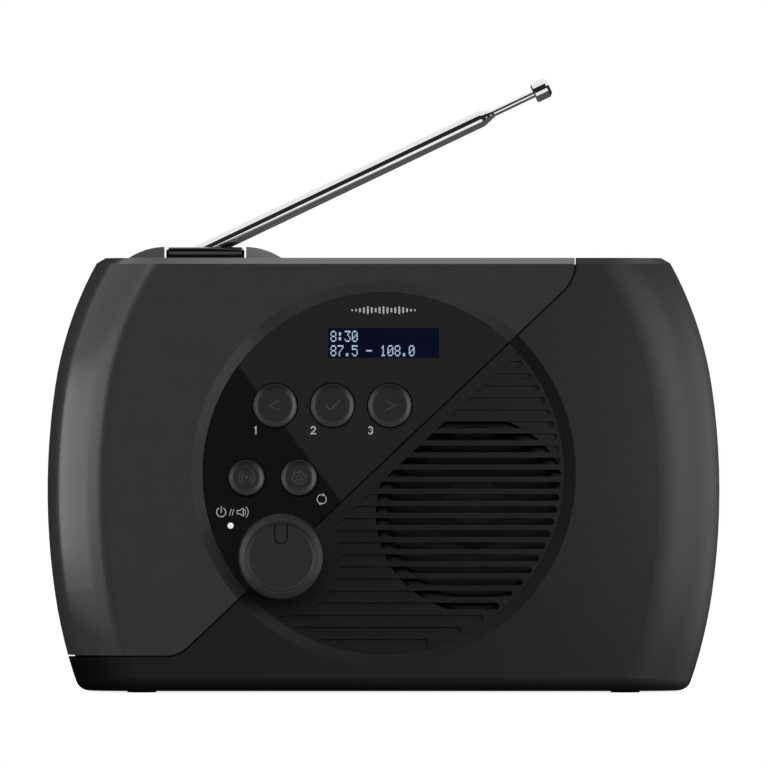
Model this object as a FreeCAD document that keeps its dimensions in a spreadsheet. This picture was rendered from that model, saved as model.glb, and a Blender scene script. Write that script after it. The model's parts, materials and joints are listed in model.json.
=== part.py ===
import FreeCAD, Part
import math
import os
import Sketcher

# Tabletop radio. +X is the radio's right as it is faced, -Y its front, +Z up, in millimetres.
# The origin is on the table, under the middle of the radio.
# Depths are measured from the plane of the front face, backwards.

SIZES = {
    # body outline, as it is faced
    "body_width": 220.0,
    "body_base": 0.5,
    "body_top": 142.0,
    "bulge_height": 65.94,
    "side_radius_mid": 233.0,
    "side_radius_low": 162.0,
    "side_radius_up": 120.0,
    "low_turn_drop": 33.8,
    "up_turn_rise": 34.1,
    # body depth and edges
    "front_plane": -26.0,
    "front_depth": 30.0,
    "body_depth": 62.0,
    "side_rounding": 20.0,
    "top_chamfer": 2.0,
    "inner_chamfer": 0.8,
    "base_rounding": 4.5,
    # walls of the housings
    "cover_wall": 2.0,
    "skin_gap": 0.15,
    "skin_wall": 1.85,
    "body_wall": 2.5,
    "band_depth": 6.0,
    "rear_inset": 2.7,
    "rear_wall": 2.5,
    "rear_corner": 10.0,
    "rear_rounding": 8.0,
    "tongue_gap": 0.2,
    "tongue_wall": 1.4,
    "tongue_reach": 3.0,
    # how far a cutter runs past a face, and joined blanks run into each other
    "over": 1.0,
    "join": 0.5,
    # seam between the cover and the housing
    "seam_gap": 0.6,
    "seam_angle": 43.5,
    "seam_rise": 3.63,
    "seam_top_x": 62.7,
    "seam_side_z": 11.9,
    "seam_top_turn": 13.0,
    "seam_side_turn": 10.0,
    "skin_overlap": 4.0,
    # round dish in the front
    "dish_height": 71.7,
    "dish_rim_radius": 62.8,
    "dish_floor_radius": 59.1,
    "dish_depth": 2.0,
    "plate_gap": 0.1,
    "plate_thickness": 2.0,
    "floor_radius": 64.0,
    "floor_thickness": 2.0,
    # speaker grille slots
    "slot_count": 24.0,
    "slots_above": 9.0,
    "slot_pitch": 3.943,
    "slot_width": 2.25,
    "slot_end_radius": 57.95,
    "slot_margin": 4.2,
    "slot_depth": 0.9,
    "knob_clear_radius": 19.4,
    "sound_radius": 32.1,
    "sound_gap": 0.2,
    # loudspeaker
    "speaker_x": 29.6,
    "speaker_z": 58.3,
    "speaker_pad_radius": 41.0,
    "gasket_radius": 34.8,
    "gasket_width": 2.2,
    "gasket_thickness": 1.0,
    "speaker_boss_radius": 2.0,
    "speaker_boss_core": 1.5,
    "speaker_screw_bite": 1.6,
    "flange_radius": 39.0,
    "flange_thickness": 1.5,
    "basket_depth": 17.0,
    "basket_back_radius": 23.0,
    "basket_wall": 1.0,
    "basket_floor": 1.5,
    "basket_hole_radius": 11.0,
    "basket_slot_width": 17.0,
    "basket_slot_start": 2.0,
    "basket_slot_end": 3.0,
    "magnet_radius": 25.0,
    "magnet_bore": 12.5,
    "magnet_thickness": 7.0,
    "plate_steel": 2.0,
    "pole_radius": 9.0,
    "coil_radius": 10.0,
    "coil_end_gap": 1.0,
    "spider_radius": 20.0,
    "cap_radius": 11.5,
    "cap_rise": 4.0,
    "cone_radius": 27.4,
    "cone_depth": 10.5,
    "paper": 0.6,
    "roll_radius": 2.2,
    "speaker_screw_circle": 36.9,
    # buttons
    "key_row_z": 93.8,
    "key_first_x": -35.35,
    "key_pitch": 18.7,
    "key_radius": 7.28,
    "small_key_z": 70.25,
    "source_key_x": -44.7,
    "menu_key_x": -27.6,
    "small_key_radius": 6.0,
    "key_gap": 0.25,
    "key_proud": 1.6,
    "key_edge": 0.35,
    "key_slope": 1.35,
    "key_dish": 0.45,
    "key_flange": 1.0,
    "key_flange_gap": 0.6,
    "key_rest_gap": 0.1,
    "key_stem_radius": 2.2,
    "key_travel": 0.5,
    # tact switches behind the buttons
    "switch_side": 6.0,
    "switch_depth": 3.5,
    "plunger_radius": 1.75,
    "plunger_length": 2.0,
    "plunger_proud": 1.2,
    # volume knob on its encoder
    "knob_x": -33.4,
    "knob_z": 44.4,
    "knob_radius": 14.2,
    "knob_face_radius": 11.0,
    "knob_length": 10.8,
    "knob_gap": 1.2,
    "knob_crest_radius": 12.4,
    "knob_dish": 0.8,
    "knob_rim_drop": 1.5,
    "knob_cap": 3.0,
    "knob_travel": 0.8,
    "notch_width": 4.4,
    "notch_length": 6.7,
    "notch_depth": 1.2,
    "shaft_radius": 3.0,
    "shaft_hole_radius": 5.0,
    "bushing_radius": 4.5,
    "bushing_recess": 0.5,
    "encoder_width": 11.7,
    "encoder_height": 13.0,
    "encoder_depth": 6.5,
    "encoder_hole_radius": 9.5,
    "encoder_front_wall": 1.0,
    "encoder_back_wall": 0.6,
    "shaft_end_gap": 0.2,
    "rotor_radius": 4.4,
    "running_gap": 0.06,
    # display
    "display_z": 114.2,
    "window_width": 36.3,
    "window_height": 9.8,
    "window_gap": 0.05,
    "glass_width": 39.5,
    "glass_height": 13.0,
    "glass_thickness": 2.8,
    "backlight_width": 36.0,
    "backlight_height": 11.5,
    # standby light
    "light_x": -49.95,
    "light_z": 54.5,
    "light_radius": 1.0,
    "light_gap": 0.4,
    "led_side": 2.6,
    "led_depth": 1.6,
    # key board
    "key_board_depth": 12.0,
    "board_thickness": 1.6,
    "key_board_left": -58.0,
    "key_board_right": 27.0,
    "key_board_low": 32.0,
    "key_board_high": 122.5,
    "key_board_notch_radius": 40.5,
    "key_boss_low": 12.0,
    "key_boss_high": 22.0,
    "key_boss_right": 4.0,
    "key_boss_right_high": 14.0,
    # main board at the back
    "main_board_stand": 12.9,
    "main_board_left": -84.0,
    "main_board_right": -20.0,
    "main_board_low": 33.0,
    "main_board_high": 104.0,
    "board_edge": 5.0,
    "main_boss_below_post": 6.0,
    "boss_radius": 3.0,
    "board_screw_radius": 1.2,
    "screw_gap": 0.05,
    "board_screw_bite": 6.0,
    # sockets in the back
    "socket_x": -70.0,
    "power_socket_z": 46.0,
    "phone_socket_z": 64.0,
    "power_bore": 2.75,
    "power_pin_radius": 1.0,
    "power_reach": 9.5,
    "power_nose_radius": 4.0,
    "phone_bore": 1.8,
    "phone_reach": 14.0,
    "phone_nose_radius": 3.0,
    "nose_gap": 0.3,
    "nose_recess": 0.1,
    # battery bay
    "bay_x": 20.0,
    "bay_z": 52.0,
    "bay_length": 58.0,
    "bay_height": 60.0,
    "bay_depth": 16.0,
    "bay_wall": 1.6,
    "bay_flange": 5.4,
    "bay_flange_thickness": 2.0,
    "cell_pitch": 14.9,
    "contact_side": 8.0,
    "contact_thickness": 0.5,
    "spring_radius": 4.0,
    "spring_tip_radius": 2.4,
    "spring_length": 5.0,
    "door_margin": 1.7,
    "door_gap": 0.3,
    "door_thickness": 2.2,
    "door_pin_radius": 0.7,
    "door_pin_gap": 0.1,
    "door_pin_reach": 1.2,
    "door_grip_width": 16.0,
    "door_rib_count": 5.0,
    "door_rib_pitch": 2.4,
    "door_rib_width": 1.2,
    "door_rib_depth": 0.5,
    "door_rib_length": 22.0,
    "door_rib_from_top": 5.0,
    # screws that close the body
    "post_inset_x": 22.0,
    "post_low_z": 25.0,
    "post_high_drop": 24.0,
    "post_high_inset_x": 33.0,
    "post_radius": 5.0,
    "post_join": 32.0,
    "post_well_radius": 3.4,
    "post_well_floor": 10.0,
    "screw_radius": 1.5,
    "head_width_ratio": 1.9,
    "head_height_ratio": 1.1,
    "cross_length_ratio": 1.2,
    "cross_width_ratio": 0.34,
    "cross_depth_ratio": 0.7,
    "screw_reach": 16.0,
    # feet
    "foot_radius": 4.75,
    "foot_inset_x": 31.0,
    "front_foot_depth": 12.0,
    "rear_foot_depth": 50.0,
    "foot_seat": 0.7,
    # antenna mount on the top edge
    "cradle_inset": 26.3,
    "cradle_width": 50.1,
    "hump_height": 3.9,
    "hump_flat": 26.0,
    "hump_radius": 22.0,
    "ear_depth": 8.0,
    "ear_root": 3.6,
    "cradle_below": 2.9,
    "cradle_screw_bite": 6.5,
    "cradle_screw_length": 8.0,
    "cradle_screw_offset": 1.0,
    "cradle_wall": 1.8,
    "cradle_floor": 2.3,
    "shelf": 2.3,
    "fit_gap": 0.3,
    "barrel_length": 25.7,
    "barrel_radius": 8.0,
    "barrel_side_gap": 0.6,
    "barrel_end_chamfer": 0.9,
    "trunnion_radius": 1.75,
    "trunnion_reach": 2.3,
    # telescopic antenna, lengths from its pivot
    "antenna_angle": 25.5,
    "pivot_from_cradle": 19.8,
    "pivot_above_top": 0.3,
    "pivot_behind_axis": 3.0,
    "mast_radius": 2.7,
    "mast_bore": 2.25,
    "mast_solid": 12.0,
    "mast_end": 108.0,
    "swage_length": 0.9,
    "swage_drop": 0.35,
    "middle_radius": 2.2,
    "middle_bore": 1.75,
    "middle_start": 12.5,
    "middle_end": 109.5,
    "inner_radius": 1.7,
    "inner_bore": 1.3,
    "inner_start": 14.0,
    "inner_end": 111.0,
    "rod_radius": 1.25,
    "rod_start": 32.0,
    "rod_end": 129.0,
    "tip_start": 125.6,
    "tip_end": 131.3,
    "tip_radius": 3.25,
    "tip_edge": 0.975,
    "heel_width": 5.1,
    "heel_length": 9.0,
    "heel_joint": 1.5,
    "barrel_flat_reach": 5.94,
    "pivot_screw_radius": 1.2,
    "pivot_head_radius": 2.2,
    "pivot_head": 1.2,
    "pivot_bite": 5.0,
    "pivot_end_gap": 0.2,
    # wiring
    "ribbon_left": -50.0,
    "ribbon_width": 18.0,
    "ribbon_z": 66.0,
    "ribbon_thickness": 0.8,
    "plug_height": 4.4,
    "plug_depth": 3.6,
    "plug_overhang": 4.0,
    # components of the main board
    "tuner_width": 24.0,
    "tuner_height": 18.0,
    "tuner_thickness": 4.0,
    "tuner_from_left": 21.0,
    "tuner_from_top": 18.0,
    "can_radius": 4.5,
    "can_length": 11.0,
    "can_pitch": 13.0,
    "can_from_left": 24.0,
    "can_from_base": 17.0,
    "power_block": 9.0,
    "phone_block": 7.0,
    "block_over_width": 1.0,
}

doc = FreeCAD.newDocument("TabletopRadio")
sheet = doc.addObject("Spreadsheet::Sheet", "Sizes")
NODES = []
CELLS = 4


class Size:
    """A number that remembers the sheet expression it comes from."""

    def __init__(self, value, text):
        self.value = value
        self.text = text

    def __add__(self, other):
        other = as_size(other)
        return Size(self.value + other.value, f"({self.text} + {other.text})")

    def __sub__(self, other):
        other = as_size(other)
        return Size(self.value - other.value, f"({self.text} - {other.text})")

    def __mul__(self, other):
        other = as_size(other)
        return Size(self.value * other.value, f"({self.text} * {other.text})")

    def __truediv__(self, other):
        other = as_size(other)
        return Size(self.value / other.value, f"({self.text} / {other.text})")

    def __neg__(self):
        return as_size(0) - self

    def root(self):
        """The square root, or zero for a negative number."""
        return Size(math.sqrt(max(self.value, 0.0)), f"sqrt(max({self.text}; 0))")

    def __radd__(self, other):
        return as_size(other) + self

    def __rsub__(self, other):
        return as_size(other) - self

    def __rmul__(self, other):
        return as_size(other) * self

    def __float__(self):
        return self.value


def as_size(number):
    """A plain number as a Size."""
    if isinstance(number, Size):
        return number
    return Size(float(number), f"({float(number):.6f})")


class Sheet:
    """The sheet's sizes, by name."""

    def __getattr__(self, name):
        return Size(SIZES[name], f"Sizes.{name}")


s = Sheet()


def fill_sheet():
    """Writes every size into a cell with its alias."""
    for row, (name, value) in enumerate(SIZES.items(), start=1):
        sheet.set(f"A{row}", str(value))
        sheet.setAlias(f"A{row}", name)
    doc.recompute()


def bind(item, path, amount):
    """Ties one property of an object to the sheet."""
    item.setExpression(path, as_size(amount).text)


def back(depth):
    """The Y of a depth behind the front face."""
    return s.front_plane + depth


# ---- placing -------------------------------------------------------------------------------------

TURNS = {
    "X": FreeCAD.Rotation(FreeCAD.Vector(0, 1, 0), 90),
    "Y": FreeCAD.Rotation(FreeCAD.Vector(1, 0, 0), -90),
    "Z": FreeCAD.Rotation(),
}


def place(item, x, y, z, rotation=None):
    """Puts an object's origin at a point that is tied to the sheet."""
    item.Placement = FreeCAD.Placement(FreeCAD.Vector(), rotation or FreeCAD.Rotation())
    for axis, amount in zip("xyz", (x, y, z)):
        bind(item, f".Placement.Base.{axis}", amount)
    return item


def box(name, x, y, z):
    """A box from a (low, high) pair along each axis."""
    item = doc.addObject("Part::Box", name)
    place(item, x[0], y[0], z[0])
    for side, span in zip(("Length", "Width", "Height"), (x, y, z)):
        bind(item, side, as_size(span[1]) - span[0])
    return item


def cylinder(name, radius, span, at, axis="Y"):
    """A cylinder along one axis; at gives its place on the other two, in X, Y, Z order."""
    item = doc.addObject("Part::Cylinder", name)
    spots = {"X": (span[0], *at), "Y": (at[0], span[0], at[1]), "Z": (*at, span[0])}
    place(item, *spots[axis], TURNS[axis])
    bind(item, "Radius", radius)
    bind(item, "Height", as_size(span[1]) - span[0])
    return item


def union(name, items):
    """One solid from overlapping ones."""
    item = doc.addObject("Part::MultiFuse", name)
    item.Shapes = items
    return item


def cut(name, base, tools):
    """A base with one or more tools taken away."""
    item = doc.addObject("Part::Cut", name)
    item.Base = base
    item.Tool = tools[0] if len(tools) == 1 else union(name + "_tools", tools)
    return item


def overlap(name, first, second):
    """What two solids have in common."""
    item = doc.addObject("Part::Common", name)
    item.Base = first
    item.Tool = second
    return item


def group(name, items):
    """Identical separate solids as one object."""
    item = doc.addObject("Part::Compound", name)
    item.Links = items
    return item


def node(label, item):
    """Names an object as a finished sub-part."""
    item.Label = label
    NODES.append(item)
    return item


# ---- sketches and bodies -------------------------------------------------------------------------

ORIGIN = (-1, 1)
HORIZONTAL_AXIS = -1
VERTICAL_AXIS = -2


def new_sketch(body, role):
    """A sketch on one of the body's own planes."""
    sketch = body.newObject("Sketcher::SketchObject", body.Name + "_sketch")
    plane = [item for item in body.Origin.OriginFeatures if item.Role == role][0]
    sketch.AttachmentSupport = (plane, "")
    sketch.MapMode = "FlatFace"
    return sketch


def hold(sketch, geometry, end, x=None, y=None):
    """Dimensions a point of the sketch from its origin; x or y may be left free."""
    for kind, axis, amount in (("DistanceX", VERTICAL_AXIS, x), ("DistanceY", HORIZONTAL_AXIS, y)):
        if amount is None:
            continue
        amount = as_size(amount)
        if abs(amount.value) < 1e-9:
            sketch.addConstraint(Sketcher.Constraint("PointOnObject", geometry, end, axis))
            continue
        rule = Sketcher.Constraint(kind, *ORIGIN, geometry, end, amount.value)
        index = sketch.addConstraint(rule)
        bind(sketch, f"Constraints[{index}]", amount)


def polygon(sketch, corners):
    """A closed polygon whose corners are all dimensioned."""
    points = [FreeCAD.Vector(float(x), float(y), 0) for x, y in corners]
    count = len(points)
    for index in range(count):
        line = Part.LineSegment(points[index], points[(index + 1) % count])
        sketch.addGeometry(line)
    for index in range(count):
        rule = Sketcher.Constraint("Coincident", index, 2, (index + 1) % count, 1)
        sketch.addConstraint(rule)
    for index, (x, y) in enumerate(corners):
        hold(sketch, index, 1, x, y)


def padded(name, sketch_maker, depth):
    """A body padded backwards from a sketch in the XZ plane."""
    body = doc.addObject("PartDesign::Body", name)
    sketch = new_sketch(body, "XZ_Plane")
    sketch_maker(sketch)
    pad = body.newObject("PartDesign::Pad", name + "_pad")
    pad.Profile = sketch
    pad.Reversed = True
    bind(pad, "Length", depth)
    doc.recompute()
    return body


def turned(name, corners, at, direction=None):
    """A body turned about Y, or about another direction, from (radius, length) corners."""
    body = doc.addObject("PartDesign::Body", name)
    sketch = new_sketch(body, "XY_Plane")
    polygon(sketch, corners)
    spin = body.newObject("PartDesign::Revolution", name + "_turn")
    spin.Profile = sketch
    spin.ReferenceAxis = (sketch, ["V_Axis"])
    spin.Angle = 360
    rotation = FreeCAD.Rotation(FreeCAD.Vector(0, 1, 0), direction) if direction else None
    place(body, *at, rotation)
    doc.recompute()
    return body


def middle(edge):
    """The point halfway along an edge."""
    return edge.valueAt((edge.FirstParameter + edge.LastParameter) / 2)


def dress(body, kind, prop, amount, test):
    """Adds a fillet or chamfer to the body's edges that pass a test."""
    base = body.Tip
    names = [f"Edge{index}" for index, edge in enumerate(base.Shape.Edges, 1) if test(edge)]
    feature = body.newObject(f"PartDesign::{kind}", f"{body.Name}_{kind.lower()}")
    feature.Base = (base, names)
    bind(feature, prop, amount)
    doc.recompute()
    return feature


# ---- body blocks ---------------------------------------------------------------------------------

def outline(inset):
    """A sketch maker for the body's outline, set in all round by one distance."""

    def make(sketch):
        half = s.body_width / 2
        turn_low = s.low_turn_drop / s.side_radius_mid
        turn_up = s.up_turn_rise / s.side_radius_mid
        low_angle = -math.asin(float(turn_low))
        up_angle = math.asin(float(turn_up))
        base = s.body_base + inset
        top = s.body_top - inset
        mid_x = half - s.side_radius_mid
        radius_mid = s.side_radius_mid - inset
        radius_low = s.side_radius_low - inset
        radius_up = s.side_radius_up - inset

        def centre(outer, angle):
            reach = float(s.side_radius_mid - outer)
            x = float(mid_x) + reach * math.cos(angle)
            return x, float(s.bulge_height) + reach * math.sin(angle)

        low_x, low_z = centre(s.side_radius_low, low_angle)
        up_x, up_z = centre(s.side_radius_up, up_angle)
        base_angle = -math.asin((low_z - float(base)) / float(radius_low))
        top_angle = math.asin((float(top) - up_z) / float(radius_up))
        arcs = (
            (low_x, low_z, radius_low, base_angle, low_angle),
            (float(mid_x), float(s.bulge_height), radius_mid, low_angle, up_angle),
            (up_x, up_z, radius_up, up_angle, top_angle),
        )
        for side in (1, -1):
            for x, z, radius, start, end in arcs:
                if side < 0:
                    start, end = math.pi - end, math.pi - start
                centre_point = FreeCAD.Vector(side * x, z, 0)
                circle = Part.Circle(centre_point, FreeCAD.Vector(0, 0, 1), float(radius))
                sketch.addGeometry(Part.ArcOfCircle(circle, start, end))
        base_x = low_x + float(radius_low) * math.cos(base_angle)
        top_x = up_x + float(radius_up) * math.cos(top_angle)
        for reach, height in ((base_x, base), (top_x, top)):
            left = FreeCAD.Vector(-reach, float(height), 0)
            right = FreeCAD.Vector(reach, float(height), 0)
            sketch.addGeometry(Part.LineSegment(left, right))

        def join(kind, *ends):
            sketch.addConstraint(Sketcher.Constraint(kind, *ends))

        base_line, top_line = 6, 7
        join("Tangent", 0, 2, 1, 1)
        join("Tangent", 1, 2, 2, 1)
        join("Tangent", 3, 1, 4, 2)
        join("Tangent", 4, 1, 5, 2)
        join("Coincident", 0, 1, base_line, 2)
        join("Coincident", 3, 2, base_line, 1)
        join("Coincident", 2, 2, top_line, 2)
        join("Coincident", 5, 1, top_line, 1)
        join("Horizontal", base_line)
        join("Horizontal", top_line)
        hold(sketch, base_line, 1, y=base)
        hold(sketch, top_line, 1, y=top)
        for index, radius in enumerate((radius_low, radius_mid, radius_up) * 2):
            rule = Sketcher.Constraint("Radius", index, float(radius))
            bind(sketch, f"Constraints[{sketch.addConstraint(rule)}]", radius)
        low_turn = s.bulge_height - turn_low * radius_mid
        up_turn = s.bulge_height + turn_up * radius_mid
        for arc, side, low_end, up_end in ((1, 1, 1, 2), (4, -1, 2, 1)):
            hold(sketch, arc, 3, mid_x * side, s.bulge_height)
            hold(sketch, arc, low_end, y=low_turn)
            hold(sketch, arc, up_end, y=up_turn)

    return make


def level_edges(height, last_y):
    """A test for the edges of a level face, apart from those on the plane at last_y."""

    def test(edge):
        points = [vertex.Point for vertex in edge.Vertexes] + [middle(edge)]
        level = all(abs(point.z - height) < 1e-4 for point in points)
        return level and middle(edge).y < last_y - 1e-3

    return test


def front_block(name, inset, top_chamfer, base_rounding, overrun=0):
    """The front half of the body as a solid, set in all round and from the front."""
    depth = s.front_depth - inset + overrun
    body = padded(name, outline(inset), depth)
    dress(body, "Fillet", "Radius", s.side_rounding - inset,
          lambda edge: abs(middle(edge).y) < 1e-4 and abs(middle(edge).x) > float(s.body_width) / 4)
    if top_chamfer is not None:
        height = float(s.body_top - inset)
        dress(body, "Chamfer", "Size", top_chamfer, level_edges(height, float(depth)))
    if base_rounding is not None:
        height = float(s.body_base + inset)
        dress(body, "Fillet", "Radius", base_rounding, level_edges(height, float(depth)))
    return place(body, 0, back(inset), 0)


def rear_block(name, inset, start, end, corner, rounding=None):
    """A slice of the rear half as a solid with rounded corners and maybe a rounded back edge."""
    depth = end - start
    body = padded(name, outline(inset), depth)

    def along_corner(edge):
        points = [vertex.Point for vertex in edge.Vertexes]
        return len(points) == 2 and abs(abs(points[0].y - points[1].y) - float(depth)) < 1e-4 \
            and any(abs(points[0].z - float(level)) < 1e-4
                    for level in (s.body_base + inset, s.body_top - inset))

    dress(body, "Fillet", "Radius", corner, along_corner)
    if rounding is not None:
        dress(body, "Fillet", "Radius", rounding,
              lambda edge: all(abs(point.y - float(depth)) < 1e-4
                               for point in [v.Point for v in edge.Vertexes] + [middle(edge)]))
    return place(body, 0, back(start), 0)


# ---- seam between the cover and the housing ------------------------------------------------------

def seam_side(name, shift, upper):
    """A block on one side of the seam, its edge moved up and left by shift."""
    slope = math.radians(SIZES["seam_angle"])
    far = s.body_width
    side_z = s.seam_side_z + shift
    top_x = s.seam_top_x - shift
    cross_z = s.dish_height + s.seam_rise + shift / math.cos(slope)

    def make(sketch):
        run = math.tan(slope)
        side_turn = float(s.seam_side_turn)
        top_turn = float(s.seam_top_turn)
        low_x = (float(side_z) - float(cross_z)) / run
        high_z = float(cross_z) + float(top_x) * run
        step = side_turn * math.tan(slope / 2)
        rise = top_turn * math.tan((math.pi / 2 - slope) / 2)
        points = [
            (-float(far), float(side_z)),
            (low_x - step, float(side_z)),
            (low_x + step * math.cos(slope), float(side_z) + step * math.sin(slope)),
            (float(top_x) - rise * math.cos(slope), high_z - rise * math.sin(slope)),
            (float(top_x), high_z + rise),
            (float(top_x), float(far)),
        ]
        corner = (-float(far), float(far)) if upper else (float(far), float(far))
        flat = [FreeCAD.Vector(x, z, 0) for x, z in points]
        sketch.addGeometry(Part.LineSegment(flat[0], flat[1]))
        sketch.addGeometry(Part.LineSegment(flat[2], flat[3]))
        sketch.addGeometry(Part.LineSegment(flat[4], flat[5]))
        up = FreeCAD.Vector(0, 0, 1)
        low_centre = FreeCAD.Vector(points[1][0], float(side_z) + side_turn, 0)
        low_circle = Part.Circle(low_centre, up, side_turn)
        sketch.addGeometry(Part.ArcOfCircle(low_circle, -math.pi / 2, slope - math.pi / 2))
        high_centre = FreeCAD.Vector(float(top_x) - top_turn, points[4][1], 0)
        high_circle = Part.Circle(high_centre, up, top_turn)
        sketch.addGeometry(Part.ArcOfCircle(high_circle, slope - math.pi / 2, 0))
        if upper:
            rest = [flat[5], FreeCAD.Vector(*corner, 0), flat[0]]
        else:
            rest = [flat[5], FreeCAD.Vector(*corner, 0),
                    FreeCAD.Vector(float(far), -float(far), 0),
                    FreeCAD.Vector(-float(far), -float(far), 0), flat[0]]
        for start, end in zip(rest, rest[1:]):
            sketch.addGeometry(Part.LineSegment(start, end))

        def join(kind, *ends):
            sketch.addConstraint(Sketcher.Constraint(kind, *ends))

        join("Horizontal", 0)
        join("Vertical", 2)
        join("Tangent", 0, 2, 3, 1)
        join("Tangent", 3, 2, 1, 1)
        join("Tangent", 1, 2, 4, 1)
        join("Tangent", 4, 2, 2, 1)
        first = 5
        last = first + len(rest) - 2
        join("Coincident", 2, 2, first, 1)
        for index in range(first, last):
            join("Coincident", index, 2, index + 1, 1)
        join("Coincident", last, 2, 0, 1)
        hold(sketch, 0, 1, -far, side_z)
        hold(sketch, 2, 2, top_x, far)
        for index, point in zip(range(first, last), rest[1:-1]):
            x = far if point.x > 0 else -far
            z = far if point.y > 0 else -far
            hold(sketch, index, 2, x, z)
        for arc, radius in ((3, s.seam_side_turn), (4, s.seam_top_turn)):
            rule = Sketcher.Constraint("Radius", arc, float(radius))
            bind(sketch, f"Constraints[{sketch.addConstraint(rule)}]", radius)
        sketch.addConstraint(Sketcher.Constraint("Angle", 1, slope))
        cross = sketch.addGeometry(Part.Point(FreeCAD.Vector(0, float(cross_z), 0)), True)
        hold(sketch, cross, 1, 0, cross_z)
        join("PointOnObject", cross, 1, 1)

    body = padded(name, make, s.body_depth * 2)
    return place(body, 0, back(-s.front_depth), 0)


# ---- places that several sub-parts share ---------------------------------------------------------

PLATE_BACK = s.dish_depth + s.plate_thickness
FLOOR_BACK = PLATE_BACK + s.floor_thickness
REAR_INNER = s.body_depth - s.rear_wall
BOARD_BACK = s.key_board_depth + s.board_thickness
SPEAKER = (s.speaker_x, s.speaker_z)
DISH = (0, s.dish_height)
KNOB = (s.knob_x, s.knob_z)
LIGHT = (s.light_x, s.light_z)

BUTTONS = {
    "previous_button": (s.key_first_x, s.key_row_z, s.key_radius),
    "confirm_button": (s.key_first_x + s.key_pitch, s.key_row_z, s.key_radius),
    "next_button": (s.key_first_x + s.key_pitch * 2, s.key_row_z, s.key_radius),
    "source_button": (s.source_key_x, s.small_key_z, s.small_key_radius),
    "menu_button": (s.menu_key_x, s.small_key_z, s.small_key_radius),
}

KEY_BOSSES = (
    (s.key_board_left + s.board_edge, s.key_board_low + s.key_boss_low),
    (s.key_board_left + s.board_edge, s.key_board_high - s.key_boss_high),
    (s.key_board_right - s.key_boss_right, s.key_board_high - s.key_boss_right_high),
)

MAIN_BOSSES = [
    (x, z)
    for x in (s.main_board_left + s.board_edge, s.main_board_right - s.board_edge)
    for z in (s.main_board_low + s.board_edge, s.main_board_high - s.board_edge)
]
MAIN_BOARD_BACK = REAR_INNER - s.main_board_stand
MAIN_BOARD_FRONT = MAIN_BOARD_BACK - s.board_thickness

POST_X = s.body_width / 2 - s.post_inset_x
POST_HIGH_X = s.body_width / 2 - s.post_high_inset_x
POST_HIGH_Z = s.body_top - s.post_high_drop
POSTS = (
    (-POST_X, s.post_low_z),
    (POST_X, s.post_low_z),
    (-POST_HIGH_X, POST_HIGH_Z - s.main_boss_below_post),
    (POST_HIGH_X, POST_HIGH_Z),
)

SPEAKER_SCREWS = [
    (s.speaker_x + s.speaker_screw_circle * sx * math.sqrt(0.5),
     s.speaker_z + s.speaker_screw_circle * sz * math.sqrt(0.5))
    for sx in (-1, 1) for sz in (-1, 1)
]

FOOT_X = s.body_width / 2 - s.foot_inset_x
FRONT_BASE = s.body_base
REAR_BASE = s.body_base + s.rear_inset

CRADLE_LEFT = -s.body_width / 2 + s.cradle_inset
CRADLE_RIGHT = CRADLE_LEFT + s.cradle_width
CRADLE_MIDDLE = CRADLE_LEFT + s.cradle_width / 2
HUMP_TOP = s.body_top + s.hump_height
BARREL_DEPTH = s.body_depth - s.barrel_radius
BARREL_Z = HUMP_TOP - s.barrel_radius
CRADLE_BASE = BARREL_Z - s.barrel_radius - s.cradle_below
CRADLE_SCREW_DEPTH = BARREL_DEPTH - s.cradle_screw_offset
BARREL_LEFT = CRADLE_MIDDLE - s.barrel_length / 2
BARREL_RIGHT = CRADLE_MIDDLE + s.barrel_length / 2
PIVOT_X = CRADLE_LEFT + s.pivot_from_cradle
PIVOT_Z = s.body_top + s.pivot_above_top
PIVOT_DEPTH = BARREL_DEPTH + s.pivot_behind_axis

DOOR_LEFT = s.bay_x - s.bay_length / 2 - s.door_margin
DOOR_RIGHT = s.bay_x + s.bay_length / 2 + s.door_margin
DOOR_LOW = s.bay_z - s.bay_height / 2 - s.door_margin
DOOR_HIGH = s.bay_z + s.bay_height / 2 + s.door_margin
DOOR_DEPTH = s.body_depth - s.door_thickness
HINGE_DEPTH = s.body_depth - s.door_thickness / 2
HINGE_Z = DOOR_LOW + s.door_thickness / 2
BAY_FRONT = REAR_INNER - s.bay_depth


def rods(name, radius, span, places):
    """Cylinders along Y, one at each (x, z) place."""
    return [cylinder(f"{name}_{index}", radius, (back(span[0]), back(span[1])), at)
            for index, at in enumerate(places)]


# ---- housings ------------------------------------------------------------------------------------

def make_dish_tool():
    """The bevelled dish in the front face, down to the back of the plates in it."""
    corners = [
        (0, -s.dish_depth),
        (s.dish_rim_radius, -s.dish_depth),
        (s.dish_rim_radius, 0),
        (s.dish_floor_radius, s.dish_depth),
        (s.dish_floor_radius, PLATE_BACK),
        (0, PLATE_BACK),
    ]
    return turned("dish_tool", corners, (0, s.front_plane, s.dish_height))


def make_front_cover(outer, upper, dish):
    """The overlay on the upper left of the front, top and side."""
    core = front_block("cover_core", s.cover_wall, s.inner_chamfer,
                       s.base_rounding - s.cover_wall, s.over)
    shell = cut("cover_shell", outer, [core])
    side = overlap("cover_side", shell, upper)
    return node("front_cover", cut("cover_cut", side, [dish]))


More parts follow.
